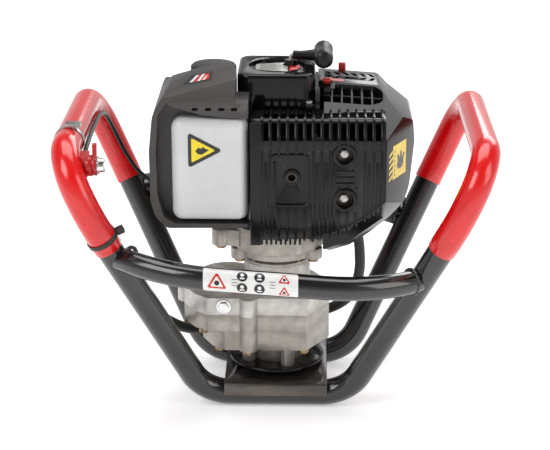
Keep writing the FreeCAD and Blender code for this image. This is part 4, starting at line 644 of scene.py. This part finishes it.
def guard_ribs():
    """Ribs between the slots run over the shoulder; finer ones go on down the front."""
    parts = []
    for i in range(RIB_COUNT + 1):
        x = FIRST_SLOT + RIB_PITCH * (i - 0.5)
        low = edge_below(min(x, 112))
        parts.append(shoulder_rib(x, 2.7, 1.9, 302.5))
        in_panel = -5 < x < 35
        in_port = 58 < x < 85
        if in_panel:
            spans = [(298, 303), (low - 1, 238)]
        elif in_port:
            spans = [(low - 3.5, 236), (261, 262.5)]
        else:
            spans = [(low - 3.5 if x > 36 else low, 303)]
        for bottom, top in spans:
            rib = slab((x - 1.25, -91.5, bottom), (x + 1.25, -88.4, top))
            parts.append(softened(rib, 0.6, 2, 40))
            if x < 108 and not in_panel and top > 290:
                low_rib = slab((x + 2.6, -90.7, bottom + 3), (x + 5.9, -88.4, top - 14))
                parts.append(softened(low_rib, 0.5, 2, 40))
    return parts


def guard_comb():
    """Teeth below on the left, the bar they hang from, and the smooth strip beside the tank."""
    parts = []
    for i in range(9):
        x = -14 + 4.95 * i
        parts.append(softened(slab((x - 1.2, -89.6, 198.8), (x + 1.2, -84, 215)), 0.6, 2, 40))
    parts.append(softened(slab((-15.5, -90.8, 213), (27.5, -86, 216.2)), 0.7, 2, 40))
    parts.append(softened(slab((-26, -92.2, 198.8), (-14.2, -86, 332)), 1.6, 3, 40))
    return parts


def guard_lip():
    """The lip along the lower right edge."""
    return [prism([(x0, z0 - 1.2), (x1, z1 - 1.2), (x1, z1 + 1.6), (x0, z0 + 1.6)], "Y",
                  -91.2, -84) for (x0, z0), (x1, z1) in zip(LIP, LIP[1:])]


def build_guard():
    """The ribbed guard over the muffler."""
    parts = [guard_shell(), *guard_panel(), *guard_ports(), *guard_ribs(), *guard_comb(),
             *guard_lip()]
    thing = piece("muffler_guard_ribbed", joined(parts), GUARD, sharp=35)
    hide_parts("muffler_guard")


# cylinder shroud: outline across Y, its flat facets and its openings
SHROUD = [(44, 354, 1), (108, 349.5, 6), (119, 338, 10), (144, 318, 10), (146.5, 294, 30),
          (141, 243, 40), (120, 209, 40), (99, 189, 30), (78, 177, 18), (58, 171.5, 5),
          (44, 182, 2)]
SHROUD_FRONT, SHROUD_BACK, SHROUD_WALL = -86, 46, 2.6
SHROUD_LEFT, SHROUD_TOP, TOP_FALL, TOP_RUN = 44, 354, 4.5, 64
GRILLE = [(47, -37, 3), (100, -37, 9), (112, -31, 8), (112, -16, 8), (104, -9.5, 8),
          (61.5, -9.5, 2), (61.5, -17, 2), (47, -17, 2)]
GRILLE_BACK, GRILLE_FRONT = -8.5, -38
LOUVRE_PITCH, CELL_PITCH = 9.2, 10.6
SHROUD_FACETS = [
    ((44, -7, 354), (108, -7, 349.5), (44, -46, 335.5), (44, -46, 400)),
    ((113.9, -87, 250), (113.9, -87, 400), (146, -24, 250), (200, -87, 250)),
    ((113.4, -88, 246), (77.6, -88, 219), (123, -30, 211), (150, -88, 150)),
    ((44.5, -88, 207), (77.6, -88, 219), (79.5, -30, 178), (60, -88, 150)),
]


def shroud_solid(inset):
    """The shroud's outer form, or the hollow inside it at a wall's thickness."""
    outline = arcs(SHROUD, 9)
    if inset:
        outline = inset_outline(outline, inset)
    return cut(prism(outline, "Y", SHROUD_FRONT + inset, SHROUD_BACK - inset),
               *[beyond(*facet, inset) for facet in SHROUD_FACETS])


def slope_height(x, y):
    """The height of the sloping front of the shroud's top."""
    return SHROUD_TOP - TOP_FALL * (x - SHROUD_LEFT) / TOP_RUN + (y + 7) * 0.474


def grille_bars():
    """Five bars from front to back in the sloping opening, and one across them."""
    bars = []
    for i in range(1, 6):
        x = 47.5 + CELL_PITCH * i
        front, back = slope_height(x, GRILLE_FRONT), slope_height(x, GRILLE_BACK)
        bar = prism([(GRILLE_FRONT, front - 3.6), (GRILLE_BACK, back - 3.6),
                     (GRILLE_BACK, back - 0.6), (GRILLE_FRONT, front - 0.6)], "X", x - 1.2, x + 1.2)
        bars.append(softened(bar, 0.6, 2, 40))
    left, right, y = 46, 112.5, -25
    cross = prism([(left, slope_height(left, y) - 3.2), (right, slope_height(right, y) - 3.2),
                   (right, slope_height(right, y) - 1), (left, slope_height(left, y) - 1)], "Y",
                  y - 1, y + 1)
    bars.append(softened(cross, 0.5, 2, 40))
    return bars


def louvres():
    """Two rows of slanted slots behind the grille."""
    slots = []
    for i in range(6):
        x = 51 + LOUVRE_PITCH * i
        slots.append(prism([(x, 8), (x + 4.6, 8), (x + 9, 19), (x + 4.4, 19)], "Z", 335, 370))
        slots.append(prism([(x + 4, 24), (x + 8.6, 24), (x + 4.2, 35), (x - 0.4, 35)], "Z",
                           335, 370))
    return joined(slots)


def build_shroud():
    """The cylinder's shroud: a faceted hollow shell, open to its neighbours and the air."""
    open_left = slab((30, -83.4, 160), (50, 43.4, 349))
    behind_guard = slab((30, -100, 160), (113.6, -42.4, 331.5))
    clutch_bell = disc(57, "Z", 0, 0, 150, 208)
    carburettor = slab((30, 38, 205), (86, 60, 255))
    loom_hole = disc(7.5, "Z", 88, -6, 150, 200)
    button_pocket = slab((47.2, -14.8, 351.7), (58.8, -4.2, 370))
    solid = cut(softened(shroud_solid(0), 3.6, 5, 14), shroud_solid(SHROUD_WALL), open_left,
                behind_guard, clutch_bell, carburettor, loom_hole,
                prism(arcs(GRILLE, 12), "Z", 300, 380), button_pocket)
    beside_starter = slab((40.9, -44, 318), (45.5, 44, 350.5))
    button_hole = slab((50.7, -11.3, 340), (55.3, -7.7, 360))
    solid = cut(combine(solid, beside_starter, "UNION"), louvres(), button_hole)
    parts = [softened(solid, 0.5, 2, 40), *grille_bars()]
    thing = piece("cylinder_shroud_shell", joined(parts), GLOSS, sharp=24)
    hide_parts("cylinder_shroud")
    return thing


# ---- starter's grip and rope, and weld beads -------------------------------------------------

ROPE_R = 1.7
GRIP_MIDDLE = (49.5, 15, 377.2)
GRIP_PROFILE = [(0.5, -28.5), (6, -28), (9, -25.5), (10.2, -21), (10.3, -15), (9.3, -6),
                (9.1, 0), (9.3, 6), (10.3, 15), (10.2, 21), (9, 25.5), (6, 28), (0.5, 28.5)]
STEM_START = (16.5, 15, 376.3)
STEM_PROFILE = [(3.6, 0), (4.7, 0.4), (4.9, 4), (4.6, 6), (4.8, 12), (6.4, 24), (7.6, 31)]
ROPE_ELBOW = [(14, 15, 364), (14, 15, 372), (14.2, 15, 375), (15.2, 15, 376.2), (16.2, 15, 376.4)]
ROPE_MOUTH, ROPE_END, ROPE_PIECES = (16, 15, 376.4), (20, 15, 376.96), 60


def build_grip():
    """The rubber T of the starter, resting against the side of its housing."""
    parts = [lathe(GRIP_PROFILE, GRIP_MIDDLE, "Y", 40), lathe(STEM_PROFILE, STEM_START, "X", 36)]
    thing = piece("starter_grip_rubber", joined(parts), RUBBER, "starter")
    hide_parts("starter_grip")


def build_rope():
    """The rope: an elbow out of its guide, then a short straight stretch into the grip's stem."""
    elbow = swept([Vector(point) for point in ROPE_ELBOW], lambda i: ROPE_R, 14)
    piece("starter_rope_elbow", elbow, ROPE, "root")
    mouth, end = Vector(ROPE_MOUTH), Vector(ROPE_END)
    pulled = swept([mouth.lerp(end, k / ROPE_PIECES) for k in range(ROPE_PIECES + 1)],
                   lambda i: ROPE_R, 14)
    thing = piece("starter_rope_pulled", pulled, ROPE, None)
    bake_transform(thing)


def bead_ring(name, centre, axis, radius, thick):
    """A lumpy ring of weld round a tube's end."""
    centre, axis = Vector(centre), Vector(axis).normalized()
    across = axis.orthogonal().normalized()
    third = axis.cross(across)
    rings = []
    for u, v in circle(1, 72):
        out = across * u + third * v
        lump = thick * (1 + 0.18 * math.sin(math.atan2(v, u) * 19) + 0.1 * noise.noise(out * 3))
        rings.append([centre + out * (radius + du) + axis * dv for du, dv in circle(lump, 10)])
    piece(name, skinned(rings, closed_up=True), WELD, sharp=60)


def build_welds():
    """Beads where the crossbars meet the legs."""
    for name, x, y, z, lean in (
            ("weld_front_left", -150.5, -114.5, 191, -1), ("weld_front_right", 141.5, -111, 167, 1),
            ("weld_rear_left", -150.5, 113.5, 191, -1), ("weld_rear_right", 141.5, 110, 167, 1)):
        inward = -1 if y > 0 else 1
        bead_ring(name, (x, y, z), (lean * 0.84, inward * 0.54, -lean * 0.05), BAR_R + 0.4, 2.0)


# ---- stickers, laid onto the surface below them --------------------------------------------------

def tree_of(thing):
    """A shown piece's surface, for rays to hit."""
    bpy.context.view_layer.update()
    return BVHTree.FromObject(thing, bpy.context.evaluated_depsgraph_get())


def patch(outline, step=2.5):
    """A flat filled outline in (u, v), cut finely enough to bend round a surface."""
    bm = bmesh.new()
    bm.faces.new([bm.verts.new((p[0], p[1], 0)) for p in outline])
    for axis in (0, 1):
        values = [p[axis] for p in outline]
        cut_at = min(values) + step
        while cut_at < max(values):
            point, normal = [0, 0, 0], [0, 0, 0]
            point[axis], normal[axis] = cut_at, 1
            bmesh.ops.bisect_plane(bm, geom=bm.verts[:] + bm.edges[:] + bm.faces[:],
                                   plane_co=point, plane_no=normal)
            cut_at += step
    return bm


def sticker(name, outlines, start_of, tree, material, lift):
    """Outlines in (u, v) laid on a surface: start_of gives a ray's start and its direction."""
    meshes = []
    for outline in outlines:
        bm = patch(outline)
        for vertex in bm.verts:
            start, along = start_of(vertex.co.x, vertex.co.y)
            hit, normal = tree.ray_cast(Vector(start) * MM, Vector(along))[:2]
            if hit is None:
                hit, normal = tree.find_nearest(Vector(start) * MM)[:2]
            if normal.dot(Vector(along)) > 0:
                normal.negate()
            vertex.co = hit - Vector(along).normalized() * lift * MM
        mesh = bpy.data.meshes.new(name)
        bm.to_mesh(mesh)
        bm.free()
        meshes.append(mesh)
    return piece(name, joined(meshes), material, "root", sharp=60)


def ring_points(u, v, radius, sides=28):
    """The outline of a round mark."""
    return [(u + du, v + dv) for du, dv in circle(radius, sides)]


def box_points(u0, v0, u1, v1):
    """The outline of a rectangular mark."""
    return [(u0, v0), (u1, v0), (u1, v1), (u0, v1)]


def triangle(u, v, size):
    """An upright warning triangle with rounded corners."""
    return [tuple(p) for p in arcs([(u - size / 2, v - size * 0.4, size * 0.08),
                                    (u + size / 2, v - size * 0.4, size * 0.08),
                                    (u, v + size * 0.47, size * 0.08)], 40)]


# the front crossbar's middle: its slope and turn as it goes right, and its bow past the middle
BAR_MIDDLE_Y, BAR_MIDDLE_Z, BAR_SLOPE, BAR_TURN = -149.0, 178.5, -0.0807, 0.035
BAR_STRAIGHT, BAR_BOW, LABEL_TILT = 52, 0.0033, 20


def round_bar(u, v):
    """A ray to the crossbar: u runs along it, v round it, both in millimetres."""
    height = math.radians(LABEL_TILT) + v / BAR_R
    out = Vector((0, -math.cos(height), math.sin(height)))
    bow = BAR_BOW * max(0, abs(u) - BAR_STRAIGHT) ** 2
    centre = Vector((u, BAR_MIDDLE_Y + BAR_TURN * u + bow, BAR_MIDDLE_Z + BAR_SLOPE * u))
    return centre + out * 40, -out


def from_front(u, v):
    """A ray that goes back from in front, at (x, z)."""
    return Vector((u, -200, v)), Vector((0, 1, 0))


def from_above(u, v):
    """A ray that goes down from above, at (x, y)."""
    return Vector((u, v, 480)), Vector((0, 0, -1))


# how far each layer of a sticker stands off what it lies on
LAYERS = (0.12, 0.2, 0.28, 0.36, 0.44)
WARNING_AT, BIG_SIGN_AT, SMALL_SIGN_AT, DISC_ROWS = -23.5, -34, 34, (-6.2, 6.2)


def label_crossbar():
    """The strip on the front bar: plain warning triangles, round signs and lines."""
    bar = tree_of(nodes["front_crossbar"])
    middle, big, small = WARNING_AT, WARNING_AT + BIG_SIGN_AT, WARNING_AT + SMALL_SIGN_AT
    discs = [(middle + u, v) for u in (-8.5, 9) for v in DISC_ROWS]
    marks = [ring_points(big, -2.6, 2.6), ring_points(small, 5.3, 1.5),
             ring_points(small, -8.1, 1.5)]
    marks += [ring_points(u, v, 5.4) for u, v in discs]
    marks += [box_points(middle + u, v, middle + u + 6, v + 0.5) for u in (-19, 19)
              for v in (-4, -1, 2)]
    heads = [ring_points(u, v + 1.4, 1.9, 16) for u, v in discs]
    chests = [box_points(u - 2.4, v - 3, u + 2.4, v - 1.4) for u, v in discs]
    for layer, (name, outlines, material) in zip(LAYERS, (
            ("warning_label", [rounded_box(middle - 48, -14, middle + 48, 14, 2, 30)],
             LABEL_WHITE),
            ("warning_triangles", [triangle(big, -0.5, 21), triangle(small, 6.6, 12.5),
                                   triangle(small, -6.8, 12.5)], LABEL_RED),
            ("warning_insides", [triangle(big, -1.2, 14), triangle(small, 6.1, 7.6),
                                 triangle(small, -7.3, 7.6)], LABEL_WHITE),
            ("warning_discs", marks, LABEL_BLACK),
            ("warning_dots", heads + chests, LABEL_WHITE))):
        sticker(name, outlines, round_bar, bar, material, layer)


def label_tank():
    """A fire warning: a yellow triangle in a black one, with a plain flame."""
    tank = tree_of(nodes["fuel_tank"])
    outer = arcs([(-89.5, 321, 2.4), (-89.5, 282.5, 2.4), (-53.5, 301.8, 2.4)], 30)
    inner = arcs([(-86, 315, 1), (-86, 288.5, 1), (-61.3, 301.8, 1)], 40)
    flame = [(-82, 301), (-79.6, 297.8), (-75, 297.4), (-70.5, 300.4), (-67.6, 302.4),
             (-71.5, 303.6), (-74.4, 305.8), (-75.4, 303.6), (-79, 304.6)]
    for layer, name, outline, material in zip(
            LAYERS, ("fire_sign", "fire_sign_yellow", "fire_sign_mark"), (outer, inner, flame),
            (LABEL_BLACK, LABEL_YELLOW, LABEL_BLACK)):
        sticker(name, [outline], from_front, tank, material, layer)


def label_shroud(shroud):
    """A yellow notice with bars and a hand on the end facet, and a red strip by the button."""
    hull = tree_of(shroud)
    bars = [[(117.4, z), (121.3, z + 3.6), (121.3, z + 6.8), (117.4, z + 3.2)]
            for z in (265, 271.5, 278, 284.5, 291)]
    hand = [(127, 274), (131, 273), (133.6, 277), (133.6, 283), (135, 288), (133.2, 288.6),
            (131.6, 284.4), (131.4, 292), (129.8, 292), (129.4, 285), (127.6, 290.4),
            (126.2, 289.8), (127, 283), (126, 279)]
    dashes = [box_points(123.2, z, 124.1, z + 3.2) for z in (268, 273, 278, 283, 288, 293)]
    for name, outlines, start_of, material, lift in (
            ("guard_notice", [box_points(121.5, 265, 136.5, 301.5)], from_front, LABEL_YELLOW,
             0.15),
            ("guard_notice_bars", bars, from_front, LABEL_YELLOW, 0.15),
            ("guard_notice_mark", [hand] + dashes, from_front, LABEL_BLACK, 0.25),
            ("side_strip", [box_points(46, -2.5, 71, 5.5)], from_above, LABEL_RED, 0.15)):
        sticker(name, outlines, start_of, hull, material, lift)


def label_cover(cover):
    """A generic badge on the roof: white stripes on red on black."""
    hood = tree_of(cover)
    stripes = [[(-89, -60), (-85.6, -60), (-79.6, -44), (-83, -44)],
               [(-81, -60), (-77.8, -60), (-73.4, -44), (-76.6, -44)],
               [(-76, -60), (-73.4, -60), (-70.6, -50), (-72.2, -50)]]
    for layer, name, outlines, material in zip(
            LAYERS, ("hood_badge", "hood_badge_red", "hood_badge_white"),
            ([[(-96, -64), (-66, -64), (-66, -40), (-88, -40)]],
             [[(-85, -60), (-69, -60), (-69, -44), (-79, -44)]], stripes),
            (LABEL_BLACK, LABEL_RED, LABEL_WHITE)):
        sticker(name, outlines, from_above, hood, material, layer)


PLATE_FLOOR, PLATE_TOP, PLATE_RADIUS = 364.4, 365.7, 27.4
GUIDE_AT, GUIDE_CLEAR = (14, 15), 8.3


def build_recoil_plate():
    """A plate in the starter housing's round recess, cut away round the rope's guide."""
    def clear_of_guide(mesh):
        return cut(mesh, disc(GUIDE_CLEAR, "Z", *GUIDE_AT, 350, 380))

    base = clear_of_guide(disc(PLATE_RADIUS, "Z", 0, 4, PLATE_FLOOR, PLATE_TOP, 96))
    left = arcs([(-22.5, -8, 5), (11.5, -14.5, 1), (11.5, 22.5, 1), (-22.5, 16, 5)], 12)
    right = arcs([(13, -13, 1), (24.4, -3, 4), (24.4, 11, 4), (13, 21, 1)], 12)
    sheets = [softened(clear_of_guide(prism(outline, "Z", PLATE_TOP - 0.2, PLATE_TOP + 0.4)), 0.15)
              for outline in (left, right)]
    rows = [slab((-19 + k % 3, y, PLATE_TOP + 0.3), (4 - 5 * (k % 2), y + 0.7, PLATE_TOP + 0.5))
            for k, y in enumerate(range(-9, 17, 3))]
    marks = [slab((15, y, PLATE_TOP + 0.3), (21.5, y + 1.2, PLATE_TOP + 0.5)) for y in (-6, -2.5)]
    for name, mesh, material in (
            ("recoil_plate_base", softened(base, 0.4), RECOIL),
            ("recoil_plate", sheets[0], LABEL_SILVER), ("recoil_plate_red", sheets[1], LABEL_RED),
            ("recoil_plate_lines", joined(rows), LABEL_BLACK),
            ("recoil_plate_marks", joined(marks), LABEL_WHITE)):
        piece(name, mesh, material)


# ---- corrugated loom -----------------------------------------------------------------------------

# the loom's route, as in the model, and its ribs: two points on a crest, then two in a groove
CREST, GROOVE, RIB_STEP = 5.9, 5.1, 0.9
LOOM = [(88, -6, 186), (91, -3, 160), (91, 8, 130), (84, 24, 100), (66, 48, 74), (34, 66, 56),
        (-6, 70, 50), (-46, 66, 48), (-78, 46, 50), (-98, 12, 60), (-116, -22, 82),
        (-134, -56, 112), (-150, -75, 148), (-164, -85, 184), (-178, -92.5, 214),
        (-190.5, -98, 243), (-198, -98, 262), (-199, -97, 279.2)]


def smooth_line(points, step):
    """Points at an even step along a smooth curve through the given ones."""
    points = [Vector(p) for p in points]
    ends = [points[0] * 2 - points[1]] + points + [points[-1] * 2 - points[-2]]
    dense = []
    for a, b, c, d in zip(ends, ends[1:], ends[2:], ends[3:]):
        for k in range(24):
            t = k / 24
            dense.append(0.5 * (2 * b + (c - a) * t + (2 * a - 5 * b + 4 * c - d) * t * t
                                + (3 * b - a - 3 * c + d) * t ** 3))
    dense.append(points[-1])
    line, gone = [dense[0]], 0.0
    for a, b in zip(dense, dense[1:]):
        length = (b - a).length
        while gone + length >= step:
            a = a + (b - a).normalized() * (step - gone)
            line.append(a.copy())
            length = (b - a).length
            gone = 0.0
        gone += length
    return line


def swept(line, radius_at, sides):
    """A tube along a line, closed at both ends, with its radius at each of the line's points."""
    across = (line[1] - line[0]).orthogonal().normalized()
    rings = []
    for i, point in enumerate(line):
        ahead = (line[min(i + 1, len(line) - 1)] - line[max(i - 1, 0)]).normalized()
        across = (across - ahead * across.dot(ahead)).normalized()
        third = ahead.cross(across)
        rings.append([point + across * u + third * v for u, v in circle(radius_at(i), sides)])
    return skinned(rings)


def build_loom():
    """The corrugated sleeve of the wires, from the shroud's underside to the left handle."""
    heights = (CREST, CREST, GROOVE, GROOVE)
    mesh = swept(smooth_line(LOOM, RIB_STEP), lambda i: heights[i % 4], 18)
    thing = piece("corrugated_loom", mesh, DARK, sharp=70)
    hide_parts("wiring_loom")


# ---- the whole -----------------------------------------------------------------------------------

make_camera()
make_studio()
finish_nodes()
cover = build_cover()
build_guard()
shroud = build_shroud()
build_grip()
build_rope()
build_welds()
label_crossbar()
label_tank()
label_shroud(shroud)
label_cover(cover)
build_recoil_plate()
build_loom()
